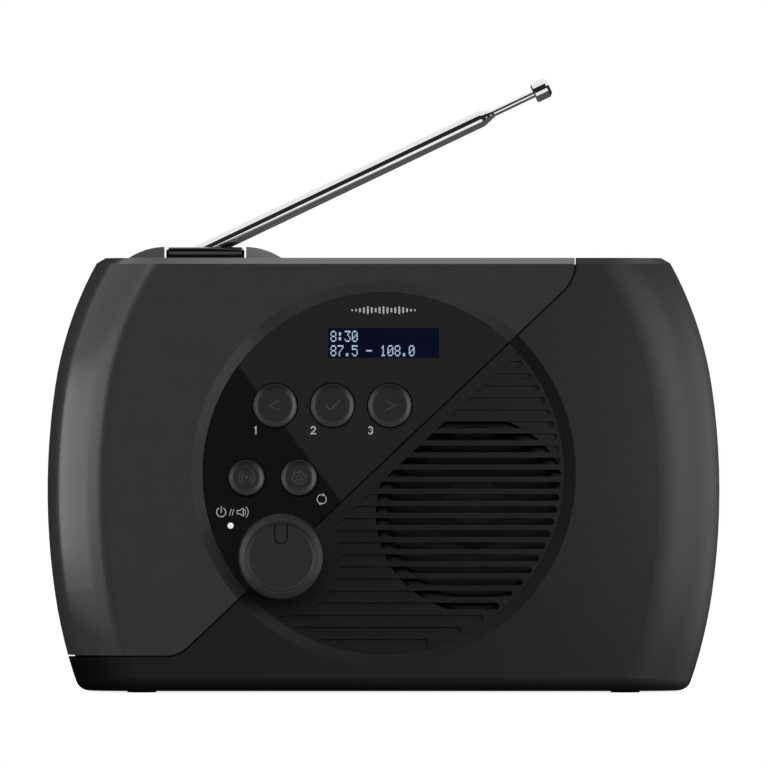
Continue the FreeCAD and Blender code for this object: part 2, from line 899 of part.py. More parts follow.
def make_front_housing(outer, lower, dish):
    """The black front half: outer wall, the skin under the cover, the dish floor and bosses."""
    wall_core = front_block("wall_core", s.body_wall, None, s.base_rounding - s.body_wall, s.over)
    wall = overlap("lower_wall", cut("wall_shell", outer, [wall_core]), lower)
    skin_inset = s.cover_wall + s.skin_gap
    skin_block = front_block("skin_block", skin_inset, s.inner_chamfer,
                             s.base_rounding - skin_inset)
    skin_core = front_block("skin_core", skin_inset + s.skin_wall, None, None, s.over)
    skin_side = seam_side("skin_side", -s.skin_overlap, True)
    band = box("skin_band", (-s.body_width, s.body_width),
               (back(s.front_depth - s.band_depth), back(s.front_depth + s.band_depth)),
               (-s.body_width, s.body_width))
    skin_area = union("skin_area", [skin_side, band])
    skin = overlap("skin", cut("skin_shell", skin_block, [skin_core]), skin_area)

    floor_start = skin_inset + s.skin_gap
    floor_span = (back(floor_start), back(FLOOR_BACK))
    floor = cylinder("dish_floor", s.floor_radius, floor_span, DISH)
    pad_span = (back(s.body_wall - s.skin_gap), back(FLOOR_BACK))
    pad = cylinder("speaker_pad", s.speaker_pad_radius, pad_span, SPEAKER)
    board_bosses = rods("key_boss", s.boss_radius, (FLOOR_BACK - s.join, s.key_board_depth), KEY_BOSSES)
    gasket_back = FLOOR_BACK + s.gasket_thickness
    frame_front = gasket_back + s.paper
    speaker_bosses = rods("speaker_boss", s.speaker_boss_radius, (FLOOR_BACK - s.join, frame_front),
                          SPEAKER_SCREWS)
    posts = union("front_posts", rods("front_post", s.post_radius, (0, s.front_depth), POSTS))
    inner_posts = overlap("front_posts_inside", posts, skin_block)
    post_ends = rods("front_post_end", s.post_radius, (s.side_rounding, s.post_join), POSTS)
    solid = union("front_solid", [wall, skin, floor, pad, inner_posts, *board_bosses,
                                  *speaker_bosses, *post_ends])

    tools = [dish]
    through = (0, FLOOR_BACK + s.over)
    for name, (x, z, radius) in BUTTONS.items():
        tools += rods(f"{name}_way", radius + s.key_flange + s.key_flange_gap, through, [(x, z)])
    tools += rods("encoder_way", s.encoder_hole_radius, through, [KNOB])
    tools += rods("light_way", s.light_radius + s.light_gap, through, [LIGHT])
    tools += rods("sound_way", s.sound_radius + s.sound_gap, (PLATE_BACK, FLOOR_BACK + s.over), [SPEAKER])
    half_width = s.glass_width / 2 + s.fit_gap
    half_height = s.glass_height / 2 + s.fit_gap
    tools.append(box("glass_way", (-half_width, half_width), (back(0), back(FLOOR_BACK + s.over)),
                     (s.display_z - half_height, s.display_z + half_height)))
    screw_hole = s.board_screw_radius + s.screw_gap
    tools += rods("key_screw_hole", screw_hole, (FLOOR_BACK - s.over, BOARD_BACK), KEY_BOSSES)
    tools += rods("speaker_screw_hole", screw_hole,
                  (FLOOR_BACK - s.speaker_boss_core, frame_front + s.over), SPEAKER_SCREWS)
    tools += rods("post_hole", s.screw_radius + s.screw_gap,
                  (s.post_join - s.screw_reach, s.post_join + s.over), POSTS)
    for index, x in enumerate((-FOOT_X, FOOT_X)):
        tools.append(cylinder(f"front_foot_seat_{index}", s.foot_radius + s.plate_gap,
                              (0, FRONT_BASE + s.foot_seat), (x, back(s.front_foot_depth)), "Z"))
    return node("front_housing", cut("front_cut", solid, tools))


def make_rear_housing(rear_solid):
    """The black back half with its wells, bosses, door opening and the seat of the antenna."""
    core = rear_block("rear_core", s.rear_inset + s.rear_wall, s.front_depth - s.over, REAR_INNER,
                      s.rear_corner - s.rear_wall, s.rear_rounding - s.rear_wall)
    shell = cut("rear_shell", rear_solid, [core])
    tongue_inset = s.cover_wall + s.skin_gap + s.skin_wall + s.tongue_gap
    tongue_start = s.front_depth - s.tongue_reach
    tongue_end = s.front_depth + s.tongue_reach
    corner = s.rear_corner + s.rear_inset - tongue_inset
    tongue_block = rear_block("tongue_block", tongue_inset, tongue_start, tongue_end, corner)
    tongue_core = rear_block("tongue_core", tongue_inset + s.tongue_wall, tongue_start - s.over,
                             tongue_end + s.over, corner - s.tongue_wall)
    tongue = cut("tongue", tongue_block, [tongue_core])
    posts = rods("rear_post", s.post_radius, (s.post_join, REAR_INNER + s.over), POSTS)
    bosses = rods("main_boss", s.boss_radius, (MAIN_BOARD_BACK, REAR_INNER + s.over), MAIN_BOSSES)
    shelf = box("cradle_shelf", (CRADLE_LEFT - s.fit_gap, CRADLE_RIGHT + s.fit_gap),
                (back(BARREL_DEPTH - s.barrel_radius - s.cradle_wall * 2), back(REAR_INNER + s.over)),
                (CRADLE_BASE - s.shelf, CRADLE_BASE))
    solid = union("rear_solid_all", [shell, tongue, *posts, *bosses, shelf])

    tools = rods("post_well", s.post_well_radius, (s.post_join + s.post_well_floor, s.body_depth + s.over),
                 POSTS)
    tools += rods("rear_post_hole", s.screw_radius + s.screw_gap, (s.post_join - s.over, s.body_depth),
                  POSTS)
    tools += rods("main_screw_hole", s.board_screw_radius + s.screw_gap,
                  (MAIN_BOARD_BACK - s.over, MAIN_BOARD_BACK + s.post_well_floor), MAIN_BOSSES)
    tools.append(box("cradle_seat", (CRADLE_LEFT - s.fit_gap, CRADLE_RIGHT + s.fit_gap),
                     (back(BARREL_DEPTH - s.barrel_radius - s.cradle_wall - s.fit_gap * 2),
                      back(s.body_depth + s.over)),
                     (CRADLE_BASE, s.body_top)))
    tools.append(box("door_way", (DOOR_LEFT, DOOR_RIGHT), (back(REAR_INNER - s.over),
                                                         back(s.body_depth + s.over)),
                     (DOOR_LOW - s.door_gap, DOOR_HIGH)))
    pin_room = s.door_pin_reach + s.door_gap
    tools.append(cylinder("door_pin_hole", s.door_pin_radius + s.door_pin_gap,
                          (DOOR_LEFT - pin_room, DOOR_RIGHT + pin_room),
                          (back(HINGE_DEPTH), HINGE_Z), "X"))
    half_grip = s.door_grip_width / 2
    tools.append(box("door_grip", (s.bay_x - half_grip, s.bay_x + half_grip),
                     (back(s.body_depth - s.rear_wall / 2), back(s.body_depth + s.over)),
                     (DOOR_HIGH - s.over, DOOR_HIGH + s.door_margin * 2)))
    jacks = (("power", s.power_socket_z, s.power_nose_radius),
             ("phone", s.phone_socket_z, s.phone_nose_radius))
    for name, height, radius in jacks:
        tools += rods(f"{name}_way", radius + s.nose_gap, (REAR_INNER - s.over, s.body_depth + s.over),
                      [(s.socket_x, height)])
    for index, x in enumerate((-FOOT_X, FOOT_X)):
        tools.append(cylinder(f"rear_foot_seat_{index}", s.foot_radius + s.plate_gap,
                              (0, REAR_BASE + s.foot_seat), (x, back(s.rear_foot_depth)), "Z"))
    for index, x in enumerate((CRADLE_LEFT + s.post_radius, CRADLE_RIGHT - s.post_radius)):
        tools.append(cylinder(f"cradle_screw_way_{index}", s.board_screw_radius + s.screw_gap,
                              (CRADLE_BASE - s.shelf - s.over, CRADLE_BASE + s.over),
                              (x, back(CRADLE_SCREW_DEPTH)), "Z"))
    return node("rear_housing", cut("rear_cut", solid, tools))


# ---- plates in the dish --------------------------------------------------------------------------

def dish_plate(name, side):
    """One part of the round plate in the dish, up to the seam."""
    disc = cylinder(f"{name}_disc", s.dish_floor_radius - s.plate_gap,
                    (back(s.dish_depth), back(PLATE_BACK)), DISH)
    return overlap(f"{name}_plate", disc, side)


def make_control_panel(upper):
    """The glossy panel around the buttons and the display."""
    through = (0, PLATE_BACK + s.over)
    tools = []
    for name, (x, z, radius) in BUTTONS.items():
        tools += rods(f"{name}_hole", radius + s.key_gap, through, [(x, z)])
    tools += rods("panel_shaft_hole", s.shaft_hole_radius, through, [KNOB])
    tools += rods("light_hole", s.light_radius + s.window_gap, through, [LIGHT])
    half_width = s.window_width / 2
    half_height = s.window_height / 2
    tools.append(box("window_hole", (-half_width, half_width), (back(0), back(PLATE_BACK + s.over)),
                     (s.display_z - half_height, s.display_z + half_height)))
    return node("control_panel", cut("panel_cut", dish_plate("panel", upper), tools))


def make_speaker_grille(lower):
    """The slotted plate; its slots go right through only in front of the loudspeaker."""
    bars = []
    half = s.slot_width / 2
    reach = s.slot_end_radius - half
    depths = (back(s.dish_depth - s.over), back(PLATE_BACK + s.over))
    for index in range(int(SIZES["slot_count"])):
        rise = s.slot_pitch * (s.slots_above - index)
        middle_z = s.dish_height + rise
        end_x = (reach * reach - rise * rise).root()
        bars.append(box(f"slot_{index}", (-s.slot_end_radius, end_x), depths,
                        (middle_z - half, middle_z + half)))
        bars.append(cylinder(f"slot_end_{index}", half, depths, (end_x, middle_z)))
    bars = union("slot_bars", bars)
    side = seam_side("slot_side", -s.slot_margin, False)
    rim = cylinder("slot_rim", s.slot_end_radius, (back(0), back(s.front_depth)), DISH)
    clear = cylinder("slot_clear", s.knob_clear_radius, (back(-1), back(s.front_depth)), KNOB)
    area = cut("slot_area", overlap("slot_field", rim, side), [clear])
    slots = overlap("slots", bars, area)
    shallow = box("slot_shallow", (-s.body_width, s.body_width),
                  (back(0), back(s.dish_depth + s.slot_depth)), (0, s.body_top))
    sound = cylinder("slot_sound", s.sound_radius, (back(0), back(s.front_depth)), SPEAKER)
    grooves = overlap("grooves", slots, union("slot_reach", [shallow, sound]))
    tools = [grooves]
    tools += rods("grille_shaft_hole", s.shaft_hole_radius, (0, PLATE_BACK + s.over), [KNOB])
    return node("speaker_grille", cut("grille_cut", dish_plate("grille", lower), tools))


# ---- display, light and key board ----------------------------------------------------------------

def centred_box(name, width, height, span, x, z):
    """A box centred on (x, z), between two depths."""
    return box(name, (x - width / 2, x + width / 2), (back(span[0]), back(span[1])),
               (z - height / 2, z + height / 2))


def make_display():
    """The window, the display glass behind it and its backlight on the key board."""
    play = s.window_gap * 2
    glass_back = PLATE_BACK + s.glass_thickness
    node("display_window", centred_box("window", s.window_width - play, s.window_height - play,
                                       (s.dish_depth, PLATE_BACK), as_size(0), s.display_z))
    node("display_glass", centred_box("glass", s.glass_width, s.glass_height,
                                      (PLATE_BACK, glass_back), as_size(0), s.display_z))
    node("display_backlight",
         centred_box("backlight", s.backlight_width, s.backlight_height,
                     (glass_back, s.key_board_depth), as_size(0), s.display_z))


def make_standby_light():
    """The light pipe in the panel and its lamp on the key board."""
    lamp_front = s.key_board_depth - s.led_depth
    node("light_pipe", cylinder("pipe", s.light_radius, (back(s.dish_depth), back(lamp_front)),
                                LIGHT))
    node("standby_lamp", centred_box("lamp", s.led_side, s.led_side,
                                     (lamp_front, s.key_board_depth), *LIGHT))


def make_key_board():
    """The board behind the panel, cut away round the loudspeaker, and its screws."""
    board = box("key_board_blank", (s.key_board_left, s.key_board_right),
                (back(s.key_board_depth), back(BOARD_BACK)), (s.key_board_low, s.key_board_high))
    tools = rods("key_board_notch", s.key_board_notch_radius, (0, s.front_depth), [SPEAKER])
    tools += rods("key_board_hole", s.board_screw_radius + s.screw_gap, (0, s.front_depth),
                  KEY_BOSSES)
    node("key_board", cut("key_board_cut", board, tools))


def screw(name, radius, reach, at, depth, forward=True):
    """A screw along Y; its head's underside is at a depth and its tip points forward or back."""
    head = radius * s.head_height_ratio
    if forward:
        shank_span = (back(depth - reach), back(depth))
        head_span = (back(depth), back(depth + head))
    else:
        shank_span = (back(depth), back(depth + reach))
        head_span = (back(depth - head), back(depth))
    shank = cylinder(f"{name}_shank", radius, shank_span, at)
    head_radius = radius * s.head_width_ratio
    whole = union(f"{name}_whole", [shank, cylinder(f"{name}_head", head_radius, head_span, at)])
    if forward:
        recess = (depth + head - radius * s.cross_depth_ratio, depth + head + s.over)
    else:
        recess = (depth - head - s.over, depth - head + radius * s.cross_depth_ratio)
    long = radius * s.cross_length_ratio * 2
    short = radius * s.cross_width_ratio * 2
    bars = [centred_box(f"{name}_bar_{index}", width, height, recess, *at)
            for index, (width, height) in enumerate(((long, short), (short, long)))]
    return cut(name, whole, bars)


def make_board_screws():
    """The screws of both boards."""
    items = []
    for index, at in enumerate(KEY_BOSSES):
        items.append(screw(f"key_screw_{index}", s.board_screw_radius, BOARD_BACK - FLOOR_BACK + s.join,
                           at, BOARD_BACK))
    for index, at in enumerate(MAIN_BOSSES):
        items.append(screw(f"main_screw_{index}", s.board_screw_radius,
                           s.board_thickness + s.board_screw_bite, at, MAIN_BOARD_FRONT, False))
    node("board_screws", group("board_screw_set", items))


# ---- buttons and their switches ------------------------------------------------------------------

def make_buttons():
    """Five round buttons, each with the plunger of the switch that it presses."""
    face = s.dish_depth - s.key_proud
    flange_front = PLATE_BACK + s.key_rest_gap
    flange_back = flange_front + s.key_flange
    switch_front = s.key_board_depth - s.switch_depth
    plunger_front = switch_front - s.plunger_proud
    stem_back = plunger_front - s.key_rest_gap
    bodies = []
    for name, (x, z, radius) in BUTTONS.items():
        crest = radius - s.key_edge
        corners = [
            (0, s.key_dish),
            (crest - s.key_slope, s.key_dish),
            (crest, 0),
            (radius, s.key_edge),
            (radius, flange_front - face),
            (radius + s.key_flange, flange_front - face),
            (radius + s.key_flange, flange_back - face),
            (s.key_stem_radius, flange_back - face),
            (s.key_stem_radius, stem_back - face),
            (0, stem_back - face),
        ]
        node(name, turned(f"{name}_body", corners, (x, back(face), z)))
        plunger = name.replace("button", "plunger")
        span = (back(plunger_front), back(plunger_front + s.plunger_length))
        node(plunger, cylinder(f"{plunger}_rod", s.plunger_radius, span, (x, z)))
        blank = centred_box(f"{name}_switch", s.switch_side, s.switch_side,
                            (switch_front, s.key_board_depth), x, z)
        bore_back = plunger_front + s.plunger_length + s.key_travel + s.fit_gap
        bore = cylinder(f"{name}_switch_bore", s.plunger_radius + s.running_gap,
                        (back(switch_front - s.over), back(bore_back)), (x, z))
        bodies.append(cut(f"{name}_switch_body", blank, [bore]))
    node("key_switches", group("switch_set", bodies))


# ---- volume knob ---------------------------------------------------------------------------------

def make_volume_control():
    """The push encoder and the knob on its shaft."""
    encoder_front = s.key_board_depth - s.encoder_depth
    rotor_front = encoder_front + s.encoder_front_wall
    rotor_back = s.key_board_depth - s.encoder_back_wall
    knob_back = s.dish_depth - s.knob_gap
    knob_front = knob_back - s.knob_length
    shaft_front = knob_front + s.knob_cap
    shaft_back = rotor_back - s.knob_travel - s.shaft_end_gap

    blank = centred_box("encoder_blank", s.encoder_width, s.encoder_height,
                        (encoder_front, s.key_board_depth), *KNOB)
    bushing = cylinder("encoder_bushing", s.bushing_radius,
                       (back(s.dish_depth + s.bushing_recess), back(rotor_front)), KNOB)
    bore = cylinder("encoder_bore", s.shaft_radius + s.running_gap,
                    (back(0), back(s.key_board_depth - s.fit_gap)), KNOB)
    room = cylinder("encoder_room", s.rotor_radius + s.running_gap,
                    (back(rotor_front - s.running_gap), back(rotor_back + s.running_gap)), KNOB)
    node("encoder_body", cut("encoder_cut", union("encoder_all", [blank, bushing]), [bore, room]))

    ring = cylinder("rotor_blank", s.rotor_radius, (back(rotor_front), back(rotor_back)), KNOB)
    hole = cylinder("rotor_bore", s.shaft_radius + s.running_gap,
                    (back(rotor_front - s.over), back(rotor_back + s.over)), KNOB)
    node("encoder_rotor", cut("rotor_cut", ring, [hole]))
    node("encoder_shaft", cylinder("shaft", s.shaft_radius, (back(shaft_front), back(shaft_back)),
                                   KNOB))

    corners = [
        (0, s.knob_dish),
        (s.knob_face_radius, s.knob_dish),
        (s.knob_crest_radius, 0),
        (s.knob_radius, s.knob_rim_drop),
        (s.knob_radius, s.knob_length),
        (0, s.knob_length),
    ]
    blank = turned("knob_blank", corners, (s.knob_x, back(knob_front), s.knob_z))
    socket = cylinder("knob_socket", s.shaft_radius + s.screw_gap,
                      (back(shaft_front), back(knob_back + s.over)), KNOB)
    half = s.notch_width / 2
    notch_low = s.knob_z + s.knob_face_radius - s.notch_length
    notch_end = (back(knob_front - s.over), back(knob_front + s.knob_dish + s.notch_depth))
    slot = box("knob_slot", (s.knob_x - half, s.knob_x + half), notch_end,
               (notch_low + half, s.knob_z + s.knob_face_radius))
    end = cylinder("knob_slot_end", half, notch_end, (s.knob_x, notch_low + half))
    node("volume_knob", cut("knob_cut", blank, [socket, union("knob_mark", [slot, end])]))


# ---- loudspeaker ---------------------------------------------------------------------------------

def make_speaker():
    """The loudspeaker: gasket, frame, cone, coil, magnet and screws, front to back."""
    def part(name, corners, start):
        return node(name, turned(f"{name}_body", corners, (s.speaker_x, back(start), s.speaker_z)))

    gasket_back = FLOOR_BACK + s.gasket_thickness
    inner = s.gasket_radius - s.gasket_width
    part("speaker_gasket", [(inner, 0), (s.gasket_radius, 0),
                            (s.gasket_radius, s.gasket_thickness), (inner, s.gasket_thickness)],
         FLOOR_BACK)

    frame_front = gasket_back + s.paper
    basket_back = s.flange_thickness + s.basket_depth
    frame = turned("basket_body", [
        (inner, 0), (s.flange_radius, 0), (s.flange_radius, s.flange_thickness),
        (inner + s.basket_wall, s.flange_thickness), (s.basket_back_radius, basket_back),
        (s.basket_hole_radius, basket_back), (s.basket_hole_radius, basket_back - s.basket_floor),
        (s.basket_back_radius - s.basket_floor, basket_back - s.basket_floor),
    ], (s.speaker_x, back(frame_front), s.speaker_z))
    tools = []
    for index, (along_x, along_z) in enumerate(((1, 0), (0, 1))):
        reach = (s.flange_radius * along_x + s.basket_slot_width / 2 * along_z,
                 s.flange_radius * along_z + s.basket_slot_width / 2 * along_x)
        tools.append(box(f"basket_slot_{index}",
                         (s.speaker_x - reach[0], s.speaker_x + reach[0]),
                         (back(frame_front + s.flange_thickness + s.basket_slot_start),
                          back(frame_front + basket_back - s.basket_slot_end)),
                         (s.speaker_z - reach[1], s.speaker_z + reach[1])))
    tools += rods("basket_screw_hole", s.board_screw_radius + s.screw_gap * 2,
                  (frame_front - s.over, frame_front + s.flange_thickness + s.over), SPEAKER_SCREWS)
    node("speaker_frame", cut("basket_cut", frame, tools))

    roll_centre = s.cone_radius + s.roll_radius + s.paper / 2
    steps = 6
    outer = []
    under = []
    for index in range(steps + 1):
        angle = math.pi * index / steps
        lift = math.sin(angle)
        spread = -math.cos(angle)
        outer.append((roll_centre + s.roll_radius * spread, -s.roll_radius * lift))
        shrunk = s.roll_radius - s.paper
        under.append((roll_centre + shrunk * spread, -shrunk * lift))
    corners = outer + [(s.gasket_radius, 0), (s.gasket_radius, s.paper)]
    corners += [(roll_centre + s.roll_radius - s.paper, s.paper)] + under[::-1]
    corners += [(roll_centre - s.roll_radius + s.paper, s.paper),
                (roll_centre - s.roll_radius, s.paper)]
    part("speaker_surround", tidy(corners), gasket_back)
    cone_start = frame_front
    rim = roll_centre - s.roll_radius + s.paper
    part("speaker_cone", [(rim - s.paper * 2, 0), (rim, 0), (s.coil_radius + s.paper, s.cone_depth),
                          (s.coil_radius, s.cone_depth), (s.coil_radius, s.cone_depth - s.paper)],
         cone_start)
    cone_slope = (s.cone_depth - s.paper) / (rim - s.paper * 2 - s.coil_radius)
    cap_back = s.cone_depth - s.paper - cone_slope * (s.cap_radius - s.coil_radius) - s.screw_gap
    part("speaker_dust_cap", [(0, 0), (s.cap_radius / 2, s.cap_rise / 4), (s.cap_radius, s.cap_rise),
                              (s.cap_radius - s.paper, s.cap_rise),
                              (s.cap_radius / 2 - s.paper, s.cap_rise / 4 + s.paper), (0, s.paper)],
         cone_start + cap_back - s.cap_rise)
    magnet_front = frame_front + basket_back + s.plate_steel
    coil_back = magnet_front + s.coil_end_gap
    coil_front = cone_start + s.cone_depth
    part("voice_coil", [(s.coil_radius - s.paper, 0), (s.coil_radius, 0),
                        (s.coil_radius, coil_back - coil_front),
                        (s.coil_radius - s.paper, coil_back - coil_front)], coil_front)
    spider_depth = basket_back - s.basket_floor - s.paper
    part("speaker_spider", [(s.coil_radius + s.screw_gap, 0), (s.spider_radius, 0),
                            (s.spider_radius, s.paper), (s.coil_radius + s.screw_gap, s.paper)],
         frame_front + spider_depth)
    part("speaker_magnet", [(s.magnet_bore, 0), (s.magnet_radius, 0),
                            (s.magnet_radius, s.magnet_thickness),
                            (s.magnet_bore, s.magnet_thickness)], magnet_front)
    bore = s.coil_radius + s.paper
    front_plate = turned("front_plate_body", [(bore, 0), (s.basket_back_radius, 0),
                                              (s.basket_back_radius, s.plate_steel),
                                              (bore, s.plate_steel)],
                         (s.speaker_x, back(frame_front + basket_back), s.speaker_z))
    yoke = turned("yoke_body", [
        (0, 0), (s.pole_radius, 0), (s.pole_radius, s.plate_steel + s.magnet_thickness),
        (s.magnet_radius, s.plate_steel + s.magnet_thickness),
        (s.magnet_radius, s.plate_steel * 2 + s.magnet_thickness),
        (0, s.plate_steel * 2 + s.magnet_thickness),
    ], (s.speaker_x, back(frame_front + basket_back), s.speaker_z))
    node("speaker_pole_plates", group("pole_plates", [front_plate, yoke]))
    screws = [screw(f"speaker_screw_{index}", s.board_screw_radius,
                    s.flange_thickness + s.speaker_screw_bite, at, frame_front + s.flange_thickness)
              for index, at in enumerate(SPEAKER_SCREWS)]
    node("speaker_screws", group("speaker_screw_set", screws))


def tidy(corners):
    """The corners without any that repeat the one before."""
    kept = []
    for x, y in corners:
        if kept:
            last_x, last_y = kept[-1]
            if math.hypot(float(x) - float(last_x), float(y) - float(last_y)) < 1e-6:
                continue
        kept.append((x, y))
    return kept


# ---- main board and sockets ----------------------------------------------------------------------

def make_main_board():
    """The board at the back with its parts, sockets and the cable from the key board."""
    board = box("main_board_blank", (s.main_board_left, s.main_board_right),
                (back(MAIN_BOARD_FRONT), back(MAIN_BOARD_BACK)),
                (s.main_board_low, s.main_board_high))
    holes = rods("main_board_hole", s.board_screw_radius + s.screw_gap, (0, s.body_depth),
                 MAIN_BOSSES)
    node("main_board", cut("main_board_cut", board, holes))

    tuner_x = s.main_board_left + s.tuner_from_left
    tuner_z = s.main_board_high - s.tuner_from_top
    node("tuner_module", centred_box("tuner", s.tuner_width, s.tuner_height,
                                     (MAIN_BOARD_FRONT - s.tuner_thickness, MAIN_BOARD_FRONT),
                                     tuner_x, tuner_z))
    can_span = (back(MAIN_BOARD_FRONT - s.can_length), back(MAIN_BOARD_FRONT))
    can_z = s.main_board_low + s.can_from_base
    cans = [cylinder(f"can_{index}", s.can_radius, can_span,
                     (s.main_board_left + s.can_from_left + s.can_pitch * index, can_z))
            for index in range(3)]
    node("capacitors", group("can_set", cans))

    mouth = s.body_depth - s.nose_recess
    for name, height, bore, nose, reach, body_width in (
            ("power_socket", s.power_socket_z, s.power_bore, s.power_nose_radius,
             s.power_reach, s.power_block),
            ("headphone_socket", s.phone_socket_z, s.phone_bore, s.phone_nose_radius,
             s.phone_reach, s.phone_block)):
        at = (s.socket_x, height)
        block = centred_box(f"{name}_block", body_width, body_width + s.block_over_width,
                            (MAIN_BOARD_BACK, REAR_INNER - s.fit_gap), *at)
        neck = cylinder(f"{name}_neck", nose, (back(REAR_INNER - s.over), back(mouth)), at)
        hole = cylinder(f"{name}_hole", bore, (back(mouth - reach), back(mouth + s.over)), at)
        shell = cut(f"{name}_shell", union(f"{name}_all", [block, neck]), [hole])
        if name == "power_socket":
            pin = cylinder("power_pin", s.power_pin_radius,
                           (back(mouth - reach - s.over), back(mouth - s.over)), at)
            shell = union("power_socket_whole", [shell, pin])
        node(name, shell)

    ribbon_x = s.ribbon_left + s.ribbon_width / 2
    plug_back = BOARD_BACK + s.plug_depth
    plug_front = MAIN_BOARD_FRONT - s.plug_depth
    node("ribbon_cable", centred_box("ribbon", s.ribbon_width, s.ribbon_thickness,
                                     (plug_back, plug_front), ribbon_x, s.ribbon_z))
    plugs = [centred_box("ribbon_plug_front", s.ribbon_width + s.plug_overhang, s.plug_height,
                         (BOARD_BACK, plug_back), ribbon_x, s.ribbon_z),
             centred_box("ribbon_plug_back", s.ribbon_width + s.plug_overhang, s.plug_height,
                         (plug_front, MAIN_BOARD_FRONT), ribbon_x, s.ribbon_z)]
    node("ribbon_connectors", group("ribbon_plugs", plugs))


# ---- battery bay ---------------------------------------------------------------------------------

def make_battery_bay():
    """The tray for four cells side by side, its contacts and its hinged door."""
    half_length = s.bay_length / 2
    half_height = s.bay_height / 2
    left = s.bay_x - half_length
    right = s.bay_x + half_length
    low = s.bay_z - half_height
    high = s.bay_z + half_height
    walls = box("tray_walls", (left - s.bay_wall, right + s.bay_wall),
                (back(BAY_FRONT - s.bay_wall), back(REAR_INNER)),
                (low - s.bay_wall, high + s.bay_wall))
    rim = s.bay_wall + s.bay_flange
    flange = box("tray_flange", (left - rim, right + rim),
                 (back(REAR_INNER - s.bay_flange_thickness), back(REAR_INNER)),
                 (low - rim, high + rim))
    room = box("tray_room", (left, right), (back(BAY_FRONT), back(REAR_INNER + s.over)), (low, high))
    node("battery_tray", cut("tray_cut", union("tray_all", [walls, flange]), [room]))

    contacts = []
    springs = []
    middle_depth = BAY_FRONT + s.bay_depth / 2
    for row in range(CELLS):
        z = s.bay_z + s.cell_pitch * (row - (CELLS - 1) / 2)
        for side in (-1, 1):
            wall = left if side < 0 else right
            inside = wall - s.contact_thickness * side
            span = (wall, inside) if side < 0 else (inside, wall)
            contacts.append(box(f"contact_{row}_{side + 1}", span,
                                (back(middle_depth - s.contact_side / 2),
                                 back(middle_depth + s.contact_side / 2)),
                                (z - s.contact_side / 2, z + s.contact_side / 2)))
            if (row % 2 == 0) != (side < 0):
                continue
            spring = doc.addObject("Part::Cone", f"spring_{row}")
            bind(spring, "Radius1", s.spring_radius)
            bind(spring, "Radius2", s.spring_tip_radius)
            bind(spring, "Height", s.spring_length)
            turn = FreeCAD.Rotation(FreeCAD.Vector(0, 1, 0), -90 * side)
            springs.append(place(spring, inside, back(middle_depth), z, turn))
    node("battery_contacts", group("contact_set", contacts))
    node("battery_springs", group("spring_set", springs))

    gap = s.door_gap
    plate = box("door_plate", (DOOR_LEFT + gap, DOOR_RIGHT - gap),
                (back(DOOR_DEPTH), back(s.body_depth)), (HINGE_Z, DOOR_HIGH - gap))
    edge = cylinder("door_edge", s.door_thickness / 2, (DOOR_LEFT + gap, DOOR_RIGHT - gap),
                    (back(HINGE_DEPTH), HINGE_Z), "X")
    pin = cylinder("door_pin", s.door_pin_radius,
                   (DOOR_LEFT - s.door_pin_reach, DOOR_RIGHT + s.door_pin_reach),
                   (back(HINGE_DEPTH), HINGE_Z), "X")
    ribs = []
    for index in range(int(SIZES["door_rib_count"])):
        z = DOOR_HIGH - s.door_rib_from_top - s.door_rib_pitch * index
        ribs.append(centred_box(f"door_rib_{index}", s.door_rib_length, s.door_rib_width,
                                (s.body_depth - s.door_rib_depth, s.body_depth + s.over),
                                s.bay_x, z))
    node("battery_door", cut("door_cut", union("door_all", [plate, edge, pin]), ribs))


# ---- screws and feet -----------------------------------------------------------------------------

def make_fasteners():
    """The screws that close the body and hold the antenna seat, and the four feet."""
    screws = [screw(f"body_screw_{index}", s.screw_radius, s.screw_reach, at,
                    s.post_join + s.post_well_floor)
              for index, at in enumerate(POSTS)]
    node("housing_screws", group("housing_screw_set", screws))
    feet = []
    rows = ((s.front_foot_depth, FRONT_BASE), (s.rear_foot_depth, REAR_BASE))
    for row, (depth, base) in enumerate(rows):
        for side, x in enumerate((-FOOT_X, FOOT_X)):
            feet.append(cylinder(f"foot_{row}_{side}", s.foot_radius, (as_size(0), base + s.foot_seat),
                                 (x, back(depth)), "Z"))
    node("rubber_feet", group("foot_set", feet))
    cradle_screws = []
    for index, x in enumerate((CRADLE_LEFT + s.post_radius, CRADLE_RIGHT - s.post_radius)):
        at = (x, back(CRADLE_SCREW_DEPTH))
        low = CRADLE_BASE - s.shelf
        shank = cylinder(f"cradle_shank_{index}", s.board_screw_radius,
                         (low, low + s.cradle_screw_length), at, "Z")
        head = cylinder(f"cradle_head_{index}", s.board_screw_radius * s.head_width_ratio,
                        (low - s.board_screw_radius * s.head_height_ratio, low), at, "Z")
        cradle_screws.append(union(f"cradle_screw_{index}", [shank, head]))
    node("cradle_screws", group("cradle_screw_set", cradle_screws))


# ---- antenna -------------------------------------------------------------------------------------

